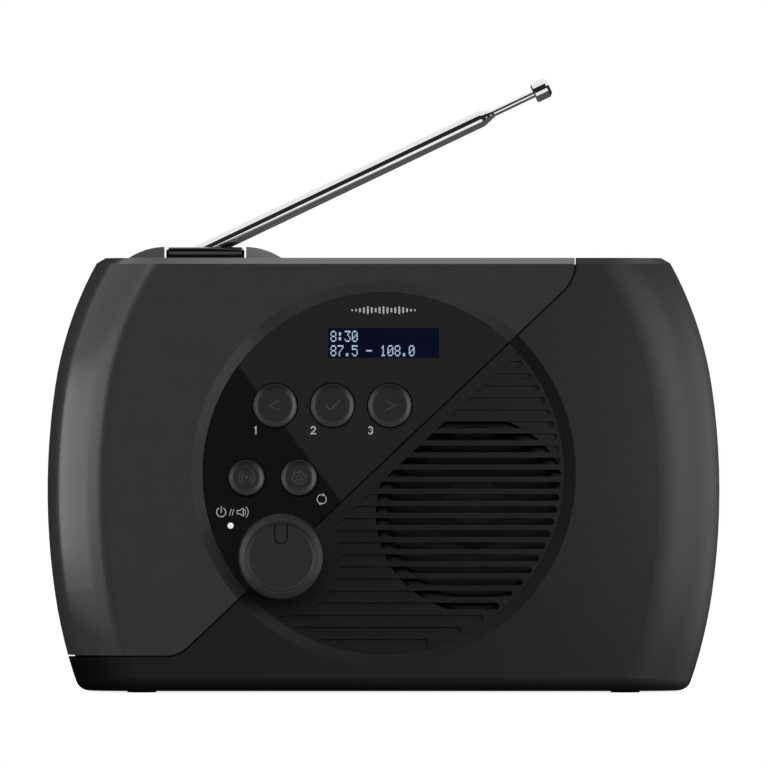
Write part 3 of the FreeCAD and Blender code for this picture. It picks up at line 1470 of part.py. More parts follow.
def make_cradle(rear_solid):
    """The raised seat on the top edge whose two ears carry the antenna barrel."""
    front = BARREL_DEPTH - s.barrel_radius - s.cradle_wall - s.fit_gap
    block = box("cradle_block", (CRADLE_LEFT, CRADLE_RIGHT), (back(front), back(s.body_depth + s.over)),
                (CRADLE_BASE, s.body_top))
    lower = overlap("cradle_lower", block, rear_solid)
    ear_front = BARREL_DEPTH - s.ear_depth
    ear_span = (back(ear_front), back(BARREL_DEPTH))
    ear_base = s.body_top - s.ear_root
    flat = box("hump_flat", (CRADLE_MIDDLE - s.hump_flat / 2, CRADLE_MIDDLE + s.hump_flat / 2),
               ear_span, (ear_base, HUMP_TOP))
    rounds = [cylinder(f"hump_round_{side + 1}", s.hump_radius, ear_span,
                       (CRADLE_MIDDLE + s.hump_flat / 2 * side, HUMP_TOP - s.hump_radius))
              for side in (-1, 1)]
    bound = box("hump_bound", (CRADLE_LEFT, CRADLE_RIGHT), ear_span, (ear_base, HUMP_TOP))
    hump = overlap("hump", union("hump_all", [flat, *rounds]), bound)
    solid = union("cradle_solid", [lower, hump])
    gap = s.barrel_side_gap
    slot = box("barrel_slot", (BARREL_LEFT - gap, BARREL_RIGHT + gap),
               (back(BARREL_DEPTH - s.barrel_radius - s.fit_gap), back(s.body_depth + s.over)),
               (CRADLE_BASE + s.cradle_floor, HUMP_TOP + s.over))
    reach = s.trunnion_reach + gap
    bearing = cylinder("trunnion_hole", s.trunnion_radius + s.running_gap,
                       (BARREL_LEFT - reach, BARREL_RIGHT + reach), (back(BARREL_DEPTH), BARREL_Z),
                       "X")
    tools = [slot, bearing]
    for index, x in enumerate((CRADLE_LEFT + s.post_radius, CRADLE_RIGHT - s.post_radius)):
        tools.append(cylinder(f"cradle_screw_hole_{index}", s.board_screw_radius + s.screw_gap,
                              (CRADLE_BASE - s.over, CRADLE_BASE + s.cradle_screw_bite),
                              (x, back(CRADLE_SCREW_DEPTH)), "Z"))
    node("antenna_cradle", cut("cradle_cut", solid, tools))


def make_barrel():
    """The barrel that leans the antenna back, with a flat for the mast's heel."""
    axis = (back(BARREL_DEPTH), BARREL_Z)
    edge = s.barrel_end_chamfer
    drum = turned("barrel_drum", [(0, 0), (s.barrel_radius - edge, 0), (s.barrel_radius, edge),
                                  (s.barrel_radius, s.barrel_length - edge),
                                  (s.barrel_radius - edge, s.barrel_length), (0, s.barrel_length)],
                  (BARREL_LEFT, *axis), FreeCAD.Vector(1, 0, 0))
    trunnions = cylinder("barrel_trunnions", s.trunnion_radius,
                         (BARREL_LEFT - s.trunnion_reach, BARREL_RIGHT + s.trunnion_reach), axis, "X")
    flat = box("barrel_flat", (PIVOT_X - s.barrel_flat_reach, BARREL_RIGHT + s.over),
               (back(PIVOT_DEPTH - s.mast_radius - s.fit_gap / 2), back(s.body_depth + s.over)),
               (PIVOT_Z - s.mast_radius - s.fit_gap, HUMP_TOP + s.over))
    screw_hole = cylinder("pivot_hole", s.pivot_screw_radius + s.screw_gap,
                          (back(BARREL_DEPTH - s.pivot_bite), back(s.body_depth)), (PIVOT_X, PIVOT_Z))
    node("antenna_barrel", cut("barrel_cut", union("barrel_all", [drum, trunnions]),
                               [flat, screw_hole]))
    head_depth = PIVOT_DEPTH + s.heel_width / 2 + s.running_gap * 2
    shank = cylinder("pivot_shank", s.pivot_screw_radius,
                     (back(BARREL_DEPTH - s.pivot_bite + s.pivot_end_gap), back(head_depth)),
                     (PIVOT_X, PIVOT_Z))
    head = cylinder("pivot_head", s.pivot_head_radius,
                    (back(head_depth), back(head_depth + s.pivot_head)), (PIVOT_X, PIVOT_Z))
    node("antenna_pivot_screw", union("pivot_screw", [shank, head]))


def make_mast():
    """The mast and its three sliding sections, raised by the antenna's angle."""
    angle = math.radians(SIZES["antenna_angle"])
    along = FreeCAD.Vector(math.cos(angle), 0, math.sin(angle))
    at = (PIVOT_X, back(PIVOT_DEPTH), PIVOT_Z)
    half = s.heel_width / 2
    zero = as_size(0)
    heel_round = cylinder("heel_round", s.mast_radius, (-half, half), (zero, zero))
    heel = box("heel_block", (zero, s.heel_length), (-half, half), (-s.mast_radius, s.mast_radius))
    start = s.heel_length - s.heel_joint
    tube = turned("mast_tube", [(0, start), (s.mast_radius, start),
                                (s.mast_radius, s.mast_end - s.swage_length),
                                (s.mast_radius - s.swage_drop, s.mast_end), (0, s.mast_end)],
                  (zero, zero, zero), FreeCAD.Vector(1, 0, 0))
    bore = cylinder("mast_bore", s.mast_bore, (s.mast_solid, s.mast_end + s.over), (zero, zero), "X")
    hole = cylinder("heel_hole", s.pivot_screw_radius + s.running_gap, (-half - s.over, half + s.over),
                    (zero, zero))
    mast = cut("mast_cut", union("mast_all", [heel_round, heel, tube]), [bore, hole])
    place(mast, *at, FreeCAD.Rotation(FreeCAD.Vector(0, 1, 0), -SIZES["antenna_angle"]))
    node("antenna_mast", mast)

    for name, radius, hollow, start, end in (
            ("antenna_middle_tube", s.middle_radius, s.middle_bore, s.middle_start, s.middle_end),
            ("antenna_inner_tube", s.inner_radius, s.inner_bore, s.inner_start, s.inner_end)):
        corners = [(hollow, start), (radius, start), (radius, end - s.swage_length),
                   (radius - s.swage_drop, end), (hollow, end)]
        node(name, turned(f"{name}_body", corners, at, along))
    corners = [(0, s.rod_start), (s.rod_radius, s.rod_start), (s.rod_radius, s.rod_end),
               (0, s.rod_end)]
    node("antenna_rod", turned("antenna_rod_body", corners, at, along))
    hole_radius = s.rod_radius + s.screw_gap
    edge = s.tip_edge
    corners = [(hole_radius, s.tip_start), (s.tip_radius - edge / 2, s.tip_start),
               (s.tip_radius, s.tip_start + edge / 2), (s.tip_radius, s.tip_end - edge),
               (s.tip_radius - edge, s.tip_end), (0, s.tip_end), (0, s.rod_end),
               (hole_radius, s.rod_end)]
    node("antenna_tip", turned("antenna_tip_body", corners, at, along))


# ---- model ---------------------------------------------------------------------------------------

def check_and_export():
    """Stops on any failed object, then writes every sub-part."""
    doc.recompute()
    failed = [item.Name for item in doc.Objects if {"Invalid", "Error"} & set(item.State)]
    for item in NODES:
        shape = item.Shape
        if shape.isNull() or not shape.isValid() or shape.Volume <= 0:
            failed.append(item.Label)
    if failed:
        raise RuntimeError("failed: " + ", ".join(failed))
    os.makedirs("parts", exist_ok=True)
    for item in NODES:
        item.Shape.exportStep(f"parts/{item.Label}.step")
        print(item.Label, len(item.Shape.Solids), round(item.Shape.Volume, 1))


def main():
    fill_sheet()
    outer = front_block("outer_block", as_size(0), s.top_chamfer, s.base_rounding)
    rear_solid = rear_block("rear_solid", s.rear_inset, s.front_depth, s.body_depth,
                            s.rear_corner, s.rear_rounding)
    upper = seam_side("upper_side", s.seam_gap / 2, True)
    lower = seam_side("lower_side", -s.seam_gap / 2, False)
    dish = make_dish_tool()
    make_front_cover(outer, upper, dish)
    make_front_housing(outer, lower, dish)
    make_rear_housing(rear_solid)
    make_control_panel(upper)
    make_speaker_grille(lower)
    make_display()
    make_standby_light()
    make_key_board()
    make_board_screws()
    make_buttons()
    make_volume_control()
    make_speaker()
    make_main_board()
    make_battery_bay()
    make_fasteners()
    make_cradle(rear_solid)
    make_barrel()
    make_mast()
    check_and_export()


main()
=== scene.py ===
"""Looks of the tabletop radio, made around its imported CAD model.

Blender works in metres. Shapes are written in millimetres, in the part's own frame: X to the right,
Y to the back, Z up, and the floor at Z = 0.
"""

import json
import math

import bmesh
import bpy
from mathutils import Matrix, Vector

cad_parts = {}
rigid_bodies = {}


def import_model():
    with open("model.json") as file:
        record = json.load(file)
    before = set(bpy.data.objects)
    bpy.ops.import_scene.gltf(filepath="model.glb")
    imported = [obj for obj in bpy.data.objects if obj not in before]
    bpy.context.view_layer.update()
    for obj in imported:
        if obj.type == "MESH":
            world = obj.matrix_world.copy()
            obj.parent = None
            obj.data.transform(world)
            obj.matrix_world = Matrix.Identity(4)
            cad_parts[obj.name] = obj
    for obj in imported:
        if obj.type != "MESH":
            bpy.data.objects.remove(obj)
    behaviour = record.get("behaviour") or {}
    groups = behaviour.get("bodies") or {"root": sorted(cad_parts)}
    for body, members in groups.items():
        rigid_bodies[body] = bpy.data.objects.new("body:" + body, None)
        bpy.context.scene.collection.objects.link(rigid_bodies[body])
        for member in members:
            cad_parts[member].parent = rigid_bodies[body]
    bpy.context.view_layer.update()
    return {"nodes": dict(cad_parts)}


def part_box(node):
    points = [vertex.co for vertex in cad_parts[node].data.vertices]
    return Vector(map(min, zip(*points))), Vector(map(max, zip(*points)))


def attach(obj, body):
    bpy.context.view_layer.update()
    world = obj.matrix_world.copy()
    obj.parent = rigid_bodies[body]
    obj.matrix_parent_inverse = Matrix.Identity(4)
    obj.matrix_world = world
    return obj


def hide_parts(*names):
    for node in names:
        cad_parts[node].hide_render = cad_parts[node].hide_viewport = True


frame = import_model()

MM = 0.001

# the camera looks along +Y: its place in metres, and the millimetres at Y = 0 that its picture is wide
CAMERA_SIDE = 0.00016
CAMERA_DISTANCE = 6.0
CAMERA_HEIGHT = 0.1008
PHOTO_WIDTH = 251.7
SENSOR = 36.0


def placed(name, data):
    """An object in the scene that holds that data."""
    item = bpy.data.objects.new(name, data)
    bpy.context.collection.objects.link(item)
    return item


def colour_sockets(sockets):
    """The colours among a Mix node's inputs or outputs."""
    return [socket for socket in sockets if socket.type == "RGBA"]


# ---------------------------------------------------------------- materials

# sizes in millimetres: a plastic's mottling, a metal's lines, a thread, and a cell of the board's tracks
CLOUD = 9.0
METAL_GRAIN = 1.2
THREAD = 0.5
TRACK_CELL = 14.0
# the colour, unlit, of what shines
UNLIT = (0.7, 0.7, 0.7)


class Finish:
    """One procedural material, with short calls for the nodes that most of them share."""

    def __init__(self, name):
        self.name = name
        self.material = bpy.data.materials.new(name)
        self.material.use_nodes = True
        self.tree = self.material.node_tree
        self.shader = self.tree.nodes["Principled BSDF"]
        self.place = self.tree.nodes.new("ShaderNodeTexCoord").outputs["Object"]

    def node(self, kind, **values):
        item = self.tree.nodes.new(kind)
        for key, value in values.items():
            setattr(item, key, value)
        return item

    def link(self, source, target):
        self.tree.links.new(source, target)

    def noise(self, size, detail=2.0, stretch=(1.0, 1.0, 1.0)):
        """Noise whose grain is about size millimetres."""
        spread = self.node("ShaderNodeMapping")
        spread.inputs["Scale"].default_value = stretch
        self.link(self.place, spread.inputs["Vector"])
        item = self.node("ShaderNodeTexNoise")
        item.inputs["Scale"].default_value = 1.0 / (size * MM)
        item.inputs["Detail"].default_value = detail
        self.link(spread.outputs["Vector"], item.inputs["Vector"])
        return item.outputs["Fac"]

    def ramp(self, source, low=0.0, high=1.0, start=0.3, end=0.7):
        """The source's values from start to end, spread from low to high."""
        item = self.node("ShaderNodeMapRange")
        item.inputs["From Min"].default_value = start
        item.inputs["From Max"].default_value = end
        item.inputs["To Min"].default_value = low
        item.inputs["To Max"].default_value = high
        self.link(source, item.inputs["Value"])
        return item.outputs["Result"]

    def blend(self, source, first, second):
        """From the first colour to the second as the source goes from 0 to 1."""
        item = self.node("ShaderNodeMix", data_type="RGBA")
        colours = colour_sockets(item.inputs)
        colours[0].default_value = (*first, 1.0)
        colours[1].default_value = (*second, 1.0)
        self.link(source, item.inputs["Factor"])
        return colour_sockets(item.outputs)[0]

    def colour(self, source):
        self.link(source, self.shader.inputs["Base Color"])

    def roughness(self, source):
        self.link(source, self.shader.inputs["Roughness"])

    def bump(self, source, height, strength=1.0):
        """Relief of that height in millimetres."""
        item = self.node("ShaderNodeBump")
        item.inputs["Strength"].default_value = strength
        item.inputs["Distance"].default_value = height * MM
        self.link(source, item.inputs["Height"])
        self.link(item.outputs["Normal"], self.shader.inputs["Normal"])

    def set(self, **values):
        for key, value in values.items():
            self.shader.inputs[key.replace("_", " ")].default_value = value


def shade(colour, factor):
    return tuple(channel * factor for channel in colour)


def plastic(name, colour, rough, grain, relief, mottle=0.04, spread=0.04, gloss=0.5):
    """Moulded plastic: a fine spark-eroded grain, slight mottling and uneven gloss."""
    finish = Finish(name)
    cloud = finish.ramp(finish.noise(CLOUD, 3.0))
    finish.colour(finish.blend(cloud, shade(colour, 1.0 - mottle), shade(colour, 1.0 + mottle)))
    texture = finish.noise(grain)
    finish.roughness(finish.ramp(texture, rough - spread, rough + spread))
    finish.bump(texture, relief)
    finish.shader.inputs["Specular IOR Level"].default_value = gloss
    return finish


def metal(name, colour, rough, streak=(1.0, 1.0, 1.0), relief=0.002):
    """Metal with faint lines, drawn out by streak."""
    finish = Finish(name)
    line = finish.noise(METAL_GRAIN, 3.0, streak)
    finish.colour(finish.blend(finish.ramp(line), shade(colour, 0.95), colour))
    finish.roughness(finish.ramp(line, rough * 0.8, rough * 1.2))
    finish.bump(line, relief)
    finish.set(Metallic=1.0)
    return finish


def paper(name):
    """The speaker's black pressed paper."""
    finish = Finish(name)
    pulp = finish.noise(0.7, 6.0, (1.0, 1.0, 2.5))
    finish.colour(finish.blend(finish.ramp(pulp), (0.012, 0.012, 0.012), (0.028, 0.028, 0.027)))
    finish.roughness(finish.ramp(pulp, 0.75, 0.95))
    finish.bump(pulp, 0.06)
    return finish


def cloth(name):
    """The woven disc that centres the speaker's coil."""
    finish = Finish(name)
    weave = finish.node("ShaderNodeMath", operation="MAXIMUM")
    for index, direction in enumerate("XZ"):
        wave = finish.node("ShaderNodeTexWave", bands_direction=direction)
        wave.inputs["Scale"].default_value = 1.0 / (THREAD * MM * math.tau)
        wave.inputs["Distortion"].default_value = 0.4
        finish.link(finish.place, wave.inputs["Vector"])
        finish.link(wave.outputs["Fac"], weave.inputs[index])
    finish.colour(finish.blend(weave.outputs["Value"], (0.16, 0.10, 0.045), (0.42, 0.29, 0.14)))
    finish.bump(weave.outputs["Value"], 0.1)
    finish.set(Roughness=0.85)
    return finish


def circuit_board(name):
    """Green lacquer with a raised pattern of tracks."""
    finish = Finish(name)
    upright = finish.node("ShaderNodeMapping")
    upright.inputs["Rotation"].default_value = (math.radians(90.0), 0.0, 0.0)
    finish.link(finish.place, upright.inputs["Vector"])
    cells = finish.node("ShaderNodeTexBrick")
    cells.inputs["Scale"].default_value = 1.0 / (TRACK_CELL * MM)
    cells.inputs["Mortar Size"].default_value = 0.03
    cells.inputs["Color1"].default_value = (0.008, 0.075, 0.03, 1.0)
    cells.inputs["Color2"].default_value = (0.007, 0.062, 0.026, 1.0)
    cells.inputs["Mortar"].default_value = (0.03, 0.16, 0.06, 1.0)
    finish.link(upright.outputs["Vector"], cells.inputs["Vector"])
    finish.colour(cells.outputs["Color"])
    finish.bump(cells.outputs["Fac"], 0.03)
    finish.roughness(finish.ramp(finish.noise(0.8), 0.22, 0.34))
    return finish


def cable(name):
    """A flat cable's wires, side by side, in two greys."""
    finish = Finish(name)
    wire = finish.node("ShaderNodeTexWave", bands_direction="X")
    wire.inputs["Scale"].default_value = 160.0
    finish.link(finish.place, wire.inputs["Vector"])
    finish.colour(finish.blend(wire.outputs["Fac"], (0.22, 0.22, 0.22), (0.55, 0.55, 0.54)))
    finish.bump(wire.outputs["Fac"], 0.3)
    finish.set(Roughness=0.45)
    return finish


def clear_window(name):
    """The clear pane over the display."""
    finish = Finish(name)
    finish.roughness(finish.ramp(finish.noise(6.0), 0.0, 0.02))
    finish.set(Base_Color=(0.9, 0.92, 0.95, 1.0), Transmission_Weight=1.0, IOR=1.49)
    return finish


def display_glass(name):
    """Dark glass with a faint blue glow."""
    finish = Finish(name)
    glow = finish.ramp(finish.noise(14.0, 1.0))
    finish.colour(finish.blend(glow, (0.003, 0.003, 0.012), (0.004, 0.004, 0.016)))
    shine = finish.blend(glow, (0.0026, 0.0035, 0.0125), (0.0032, 0.0042, 0.0145))
    finish.link(shine, finish.shader.inputs["Emission Color"])
    finish.set(Emission_Strength=1.0, Roughness=0.08)
    return finish


def lit(name, colour, strength):
    """Something that shines, a little unevenly."""
    finish = Finish(name)
    glow = finish.ramp(finish.noise(0.8))
    finish.colour(finish.blend(glow, shade(UNLIT, 0.9), UNLIT))
    finish.link(finish.blend(glow, shade(colour, 0.93), colour), finish.shader.inputs["Emission Color"])
    finish.set(Emission_Strength=strength, Roughness=0.3)
    return finish


def ink(name, colour, rough=0.4):
    """Printed ink, which covers a little unevenly."""
    finish = Finish(name)
    finish.colour(finish.blend(finish.ramp(finish.noise(0.5)), shade(colour, 0.92), colour))
    finish.roughness(finish.ramp(finish.noise(0.3), rough - 0.05, rough + 0.05))
    return finish


PLASTICS = {
    "anthracite_plastic": dict(colour=(0.034, 0.038, 0.0375), rough=0.2, grain=0.45, relief=0.0012),
    "black_plastic": dict(colour=(0.0162, 0.0166, 0.0166), rough=0.5, grain=0.45, relief=0.003, gloss=0.4),
    "grille_plastic": dict(colour=(0.0098, 0.0098, 0.0098), rough=0.5, grain=0.4, relief=0.005, gloss=0.35),
    "gloss_black": dict(colour=(0.005, 0.005, 0.005), rough=0.018, grain=0.8, relief=0.00005, spread=0.006),
    "button_plastic": dict(colour=(0.016, 0.016, 0.016), rough=0.34, grain=0.35, relief=0.003),
    "knob_plastic": dict(colour=(0.018, 0.018, 0.018), rough=0.4, grain=0.3, relief=0.004),
    "white_plastic": dict(colour=(0.78, 0.78, 0.76), rough=0.35, grain=0.6, relief=0.004, mottle=0.02),
    "socket_plastic": dict(colour=(0.014, 0.014, 0.014), rough=0.42, grain=0.3, relief=0.006),
    "rubber": dict(colour=(0.013, 0.013, 0.013), rough=0.75, grain=0.5, relief=0.03),
    "foam": dict(colour=(0.02, 0.02, 0.021), rough=0.95, grain=0.5, relief=0.15, mottle=0.2),
    "ferrite": dict(colour=(0.035, 0.035, 0.037), rough=0.7, grain=0.7, relief=0.05, mottle=0.15),
    "capacitor": dict(colour=(0.012, 0.03, 0.09), rough=0.3, grain=0.9, relief=0.002),
    # the finishes of the two single nodes in NODE_FINISH
    "hump_plastic": dict(colour=(0.085, 0.089, 0.087), rough=0.4, grain=0.45, relief=0.003),
    "barrel_plastic": dict(colour=(0.012, 0.0125, 0.0125), rough=0.12, grain=0.45, relief=0.0006,
                           spread=0.02),
}
METALS = {
    "chrome": dict(colour=(0.9, 0.9, 0.9), rough=0.06, relief=0.0002),
    "steel": dict(colour=(0.56, 0.57, 0.58), rough=0.3, streak=(1.0, 1.0, 6.0)),
    "copper": dict(colour=(0.83, 0.36, 0.18), rough=0.28, streak=(1.0, 20.0, 1.0), relief=0.05),
}
NODE_FINISH = {"antenna_cradle": "hump_plastic", "antenna_barrel": "barrel_plastic"}


def make_materials():
    finishes = [plastic(name, **values) for name, values in PLASTICS.items()]
    finishes += [metal(name, **values) for name, values in METALS.items()]
    finishes += [
        paper("paper"),
        cloth("cloth"),
        circuit_board("circuit_board"),
        cable("cable"),
        clear_window("clear_window"),
        display_glass("display_glass"),
        lit("lamp_glow", (1.0, 1.0, 1.0), 0.55),
        lit("lit_dots", (0.55, 0.75, 0.95), 0.72),
        ink("white_ink", (0.85, 0.85, 0.85)),
        ink("key_signs", (0.055, 0.055, 0.055), 0.5),
    ]
    return {finish.name: finish.material for finish in finishes}


MATERIALS = make_materials()


def dress_nodes():
    """Gives every CAD node the material of its slot, or its own finish."""
    for item in frame["nodes"].values():
        for spot in item.material_slots:
            slot = spot.material.name.split(".")[0]
            spot.material = MATERIALS[NODE_FINISH.get(item.name, slot)]


# ---------------------------------------------------------------- shapes

def place_of(node):
    """The middle of a CAD node in X and Z and its frontmost Y, in millimetres."""
    low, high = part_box(node)
    return (low[0] + high[0]) / 2.0 / MM, (low[2] + high[2]) / 2.0 / MM, low[1] / MM


def build(name, points, faces, body, material, smooth=35.0):
    """A piece from points in millimetres, riding a body."""
    mesh = bpy.data.meshes.new(name)
    mesh.from_pydata([Vector(point) * MM for point in points], [], faces)
    mesh.validate()
    shape = bmesh.new()
    shape.from_mesh(mesh)
    bmesh.ops.recalc_face_normals(shape, faces=shape.faces)
    shape.to_mesh(mesh)
    shape.free()
    mesh.shade_smooth()
    mesh.set_sharp_from_angle(angle=math.radians(smooth))
    mesh.materials.append(material)
    item = placed(name, mesh)
    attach(item, body)
    return item


def softened(corners, radius, steps=5):
    """An open (radius, length) outline with its inner corners rounded."""
    made = [corners[0]]
    for before, here, after in zip(corners, corners[1:], corners[2:]):
        here = Vector(here)
        first = Vector(before) - here
        second = Vector(after) - here
        cut = min(radius, first.length * 0.45, second.length * 0.45)
        start = here + first.normalized() * cut
        end = here + second.normalized() * cut
        for step in range(steps + 1):
            part = step / steps
            made.append(tuple(start.lerp(here, part).lerp(here.lerp(end, part), part)))
    made.append(corners[-1])
    return made


def skin(rows, count, first=0):
    """The faces over rows of points, with count points in each, and over both ends."""
    faces = []
    for row in range(rows - 1):
        low = first + row * count
        for index in range(count):
            after = (index + 1) % count
            faces.append((low + index, low + after, low + count + after, low + count + index))
    last = first + (rows - 1) * count
    faces.append(tuple(range(first, first + count)))
    faces.append(tuple(range(last, last + count)))
    return faces


def lathe(corners, at, segments, wave=None):
    """Points and faces of an outline turned about the Y axis through at, which is (x, y, z).

    A corner is (radius, length back from at). wave gives the radius at an angle of the turn.
    """
    points = []
    for radius, length in corners:
        for index in range(segments):
            angle = math.tau * index / segments
            reach = wave(radius, angle) if wave else radius
            points.append((at[0] + reach * math.cos(angle), at[1] + length, at[2] + reach * math.sin(angle)))
    return points, skin(len(corners), segments)


# the steps of a line's round end; a sharp corner reaches at most 1 / SHARPEST times half the line's width
CAP_STEPS = 6
SHARPEST = 0.5


class Print:
    """Flat marks that lie on a face at one Y, gathered into one mesh."""

    def __init__(self, face, thickness=0.03):
        self.front = face - thickness
        self.back = face
        self.points = []
        self.faces = []

    def slab(self, outline):
        """A filled outline of (x, z) points."""
        first = len(self.points)
        count = len(outline)
        self.points += [(x, self.front, z) for x, z in outline]
        self.points += [(x, self.back, z) for x, z in outline]
        self.faces.append(tuple(range(first, first + count)))
        self.faces.append(tuple(range(first + count, first + count * 2)))
        for index in range(count):
            after = (index + 1) % count
            self.faces.append((first + index, first + after, first + count + after, first + count + index))

    def stroke(self, line, width, closed=False):
        """A line of (x, z) points drawn with that width, closed or with round ends."""
        line = [Vector(point) for point in line]
        count = len(line)
        left = []
        right = []
        for index, point in enumerate(line):
            before = line[index - 1] if index or closed else point
            after = line[(index + 1) % count] if index < count - 1 or closed else point
            first = (point - before).normalized() if point != before else (after - point).normalized()
            second = (after - point).normalized() if point != after else first
            along = (first + second).normalized()
            side = Vector((-along.y, along.x))
            reach = width / 2.0 / max(SHARPEST, side.dot(Vector((-first.y, first.x))))
            left.append(point + side * reach)
            right.append(point - side * reach)
        if closed:
            self.ring(left, right)
            return
        outline = [tuple(point) for point in left]
        outline += self.cap(line[-1], left[-1])
        outline += [tuple(point) for point in reversed(right)]
        outline += self.cap(line[0], right[0])
        self.slab(outline)

    @staticmethod
    def cap(middle, start):
        """The points of a half turn, clockwise, between the two sides of a line's end."""
        arm = start - middle
        made = []
        for step in range(1, CAP_STEPS):
            angle = -math.pi * step / CAP_STEPS
            made.append((middle.x + arm.x * math.cos(angle) - arm.y * math.sin(angle),
                         middle.y + arm.x * math.sin(angle) + arm.y * math.cos(angle)))
        return made

    def ring(self, outer, inner):
        """The band between two closed lines that have as many points."""
        count = len(outer)
        first = len(self.points)
        for loop, y in ((outer, self.front), (inner, self.front), (outer, self.back), (inner, self.back)):
            self.points += [(point.x, y, point.y) for point in loop]
        rows = ((0, 1), (2, 3), (0, 2), (1, 3))
        for index in range(count):
            after = (index + 1) % count
            for one, two in rows:
                low = first + one * count
                high = first + two * count
                self.faces.append((low + index, low + after, high + after, high + index))

    def piece(self, name, body, material, slot):
        return build(name, self.points, self.faces, body, material)


def arc(x, z, radius, start, end, steps=24):
    """(x, z) points of an arc, from one angle to another in degrees."""
    made = []
    for step in range(steps + 1):
        angle = math.radians(start + (end - start) * step / steps)
        made.append((x + radius * math.cos(angle), z + radius * math.sin(angle)))
    return made


def circle(x, z, radius, count=24):
    """(x, z) points of a whole circle."""
    return arc(x, z, radius, 0.0, 360.0 * (count - 1) / count, count - 1)


# ---------------------------------------------------------------- buttons and knob

# name: the body, and the radius in millimetres
KEYS = {
    "previous_button": ("previous_key", 7.28),
    "confirm_button": ("confirm_key", 7.28),
    "next_button": ("next_key", 7.28),
    "source_button": ("source_key", 6.0),
    "menu_button": ("menu_key", 6.0),
}
# a button's outline in millimetres: the depth of its face, the edge and the slope round the face, the
# depth of its flange, and the radii of its stem and of the flat disc in its middle
KEY_FACE_DEPTH = 0.45
KEY_BEVEL = 0.35
KEY_RIM = 1.35
KEY_FLANGE = 3.7
KEY_STEM = 2.2
KEY_MIDDLE = 0.4
# the width of a line of the signs
MARK = 0.32


def key_marks(name, x, z, face):
    """The grey sign on a button's face."""
    mark = Print(face, 0.02)
    if name == "previous_button":
        mark.stroke([(x + 1.3, z + 1.5), (x - 2.1, z), (x + 1.3, z - 1.5)], MARK)
    elif name == "next_button":
        mark.stroke([(x - 1.5, z + 1.6), (x + 2.0, z), (x - 1.5, z - 1.6)], MARK)
    elif name == "confirm_button":
        mark.stroke([(x - 2.2, z), (x - 0.7, z - 1.4), (x + 2.3, z + 1.5)], MARK + 0.1)
    elif name == "source_button":
        for radius, steps in ((2.5, 24), (1.5, 16)):
            mark.stroke(arc(x, z, radius, 130.0, 230.0, steps), MARK)
            mark.stroke(arc(x, z, radius, -50.0, 50.0, steps), MARK)
        mark.slab(circle(x, z, 0.55))
    else:
        count = 48
        teeth = []
        for index in range(count):
            angle = math.tau * index / count
            reach = 2.3 if index % 8 < 4 else 1.65
            teeth.append((x + reach * math.cos(angle), z + reach * math.sin(angle)))
        mark.stroke(teeth, MARK, True)
        mark.stroke(circle(x, z, 0.8), MARK, True)
    return mark


def make_keys(finish, sign):
    """Round buttons with a sunk face, a flange behind the panel, and a stem."""
    for name, (body, radius) in KEYS.items():
        x, z, face = place_of(name)
        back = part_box(name)[1][1] / MM - face
        corners = [
            (KEY_MIDDLE, KEY_FACE_DEPTH),
            (radius - KEY_BEVEL - KEY_RIM, KEY_FACE_DEPTH),
            (radius - KEY_BEVEL, 0.0),
            (radius, KEY_BEVEL),
            (radius, KEY_FLANGE),
            (radius + 1.0, KEY_FLANGE),
            (radius + 1.0, KEY_FLANGE + 1.0),
            (KEY_STEM, KEY_FLANGE + 1.0),
            (KEY_STEM, back),
            (KEY_MIDDLE, back),
        ]
        points, faces = lathe(softened(corners, 0.5), (x, face, z), 96)
        key = build(name + "_cap", points, faces, body, finish)
        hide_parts(name)
        key_marks(name, x, z, face + KEY_FACE_DEPTH).piece(name + "_sign", body, sign, "button_plastic")


def make_knob(finish):
    """The volume knob: a sunk face, a raised rim, a ribbed side and a notch at the top."""
    x, z, face = place_of("volume_knob")
    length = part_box("volume_knob")[1][1] / MM - face
    radius = 14.2
    rim = 13.7
    sunk = 0.8
    socket = 3.05
    socket_floor = 3.0
    middle = 0.5
    ribs = 88
    depth = 0.28

    def wave(reach, angle):
        share = min(1.0, max(0.0, (reach - rim) / 0.4))
        return reach - share * depth * (0.5 - 0.5 * math.cos(angle * ribs))

    outline = softened([
        (middle, sunk), (10.5, sunk), (11.75, 0.1), (rim, 0.9), (radius, 1.6), (radius, length - 0.4),
        (rim, length), (socket, length), (socket, socket_floor), (middle, socket_floor),
    ], 0.35)
    points, faces = lathe(outline, (x, face, z), ribs * 6, wave)
    knob = build("volume_knob_turned", points, faces, "volume_push", finish)
    half = 2.05
    notch_top = 11.0
    notch_length = 6.7
    low = z + notch_top - notch_length + half
    notch = Print(face + 1.6, 4.0)
    notch.slab(arc(x, low, half, 180.0, 360.0) + [(x + half, z + 10.7), (x - half, z + 10.7)])
    groove = Print(face + 2.6, 5.0)
    groove.stroke([(x - half, z + 10.5)] + arc(x, low, half, 180.0, 360.0) + [(x + half, z + 10.5)], 0.4)
    for name, tool in (("notch", notch), ("groove", groove)):
        cutter = build(name + "_cutter", tool.points, tool.faces, "volume_push", finish)
        modifier = knob.modifiers.new(name, "BOOLEAN")
        modifier.object = cutter
        modifier.operation = "DIFFERENCE"
        bpy.context.view_layer.update()
        result = bpy.data.meshes.new_from_object(knob.evaluated_get(bpy.context.evaluated_depsgraph_get()))
        knob.modifiers.clear()
        knob.data = result
        bpy.data.objects.remove(cutter)
    result.set_sharp_from_angle(angle=math.radians(30.0))
    # the larger faces set the shading where faces meet smoothly
    modifier = knob.modifiers.new("even_shading", "WEIGHTED_NORMAL")
    modifier.keep_sharp = True
    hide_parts("volume_knob")


# ---------------------------------------------------------------- prints on the panel

PANEL_FACE = -24.0
# (x, z): the middle of the power and the cycle sign, and of the speaker sign's left end
POWER_SIGN = (-52.98, 58.98)
CYCLE_SIGN = (-20.18, 63.2)
SPEAKER_SIGN = (-47.75, 58.98)
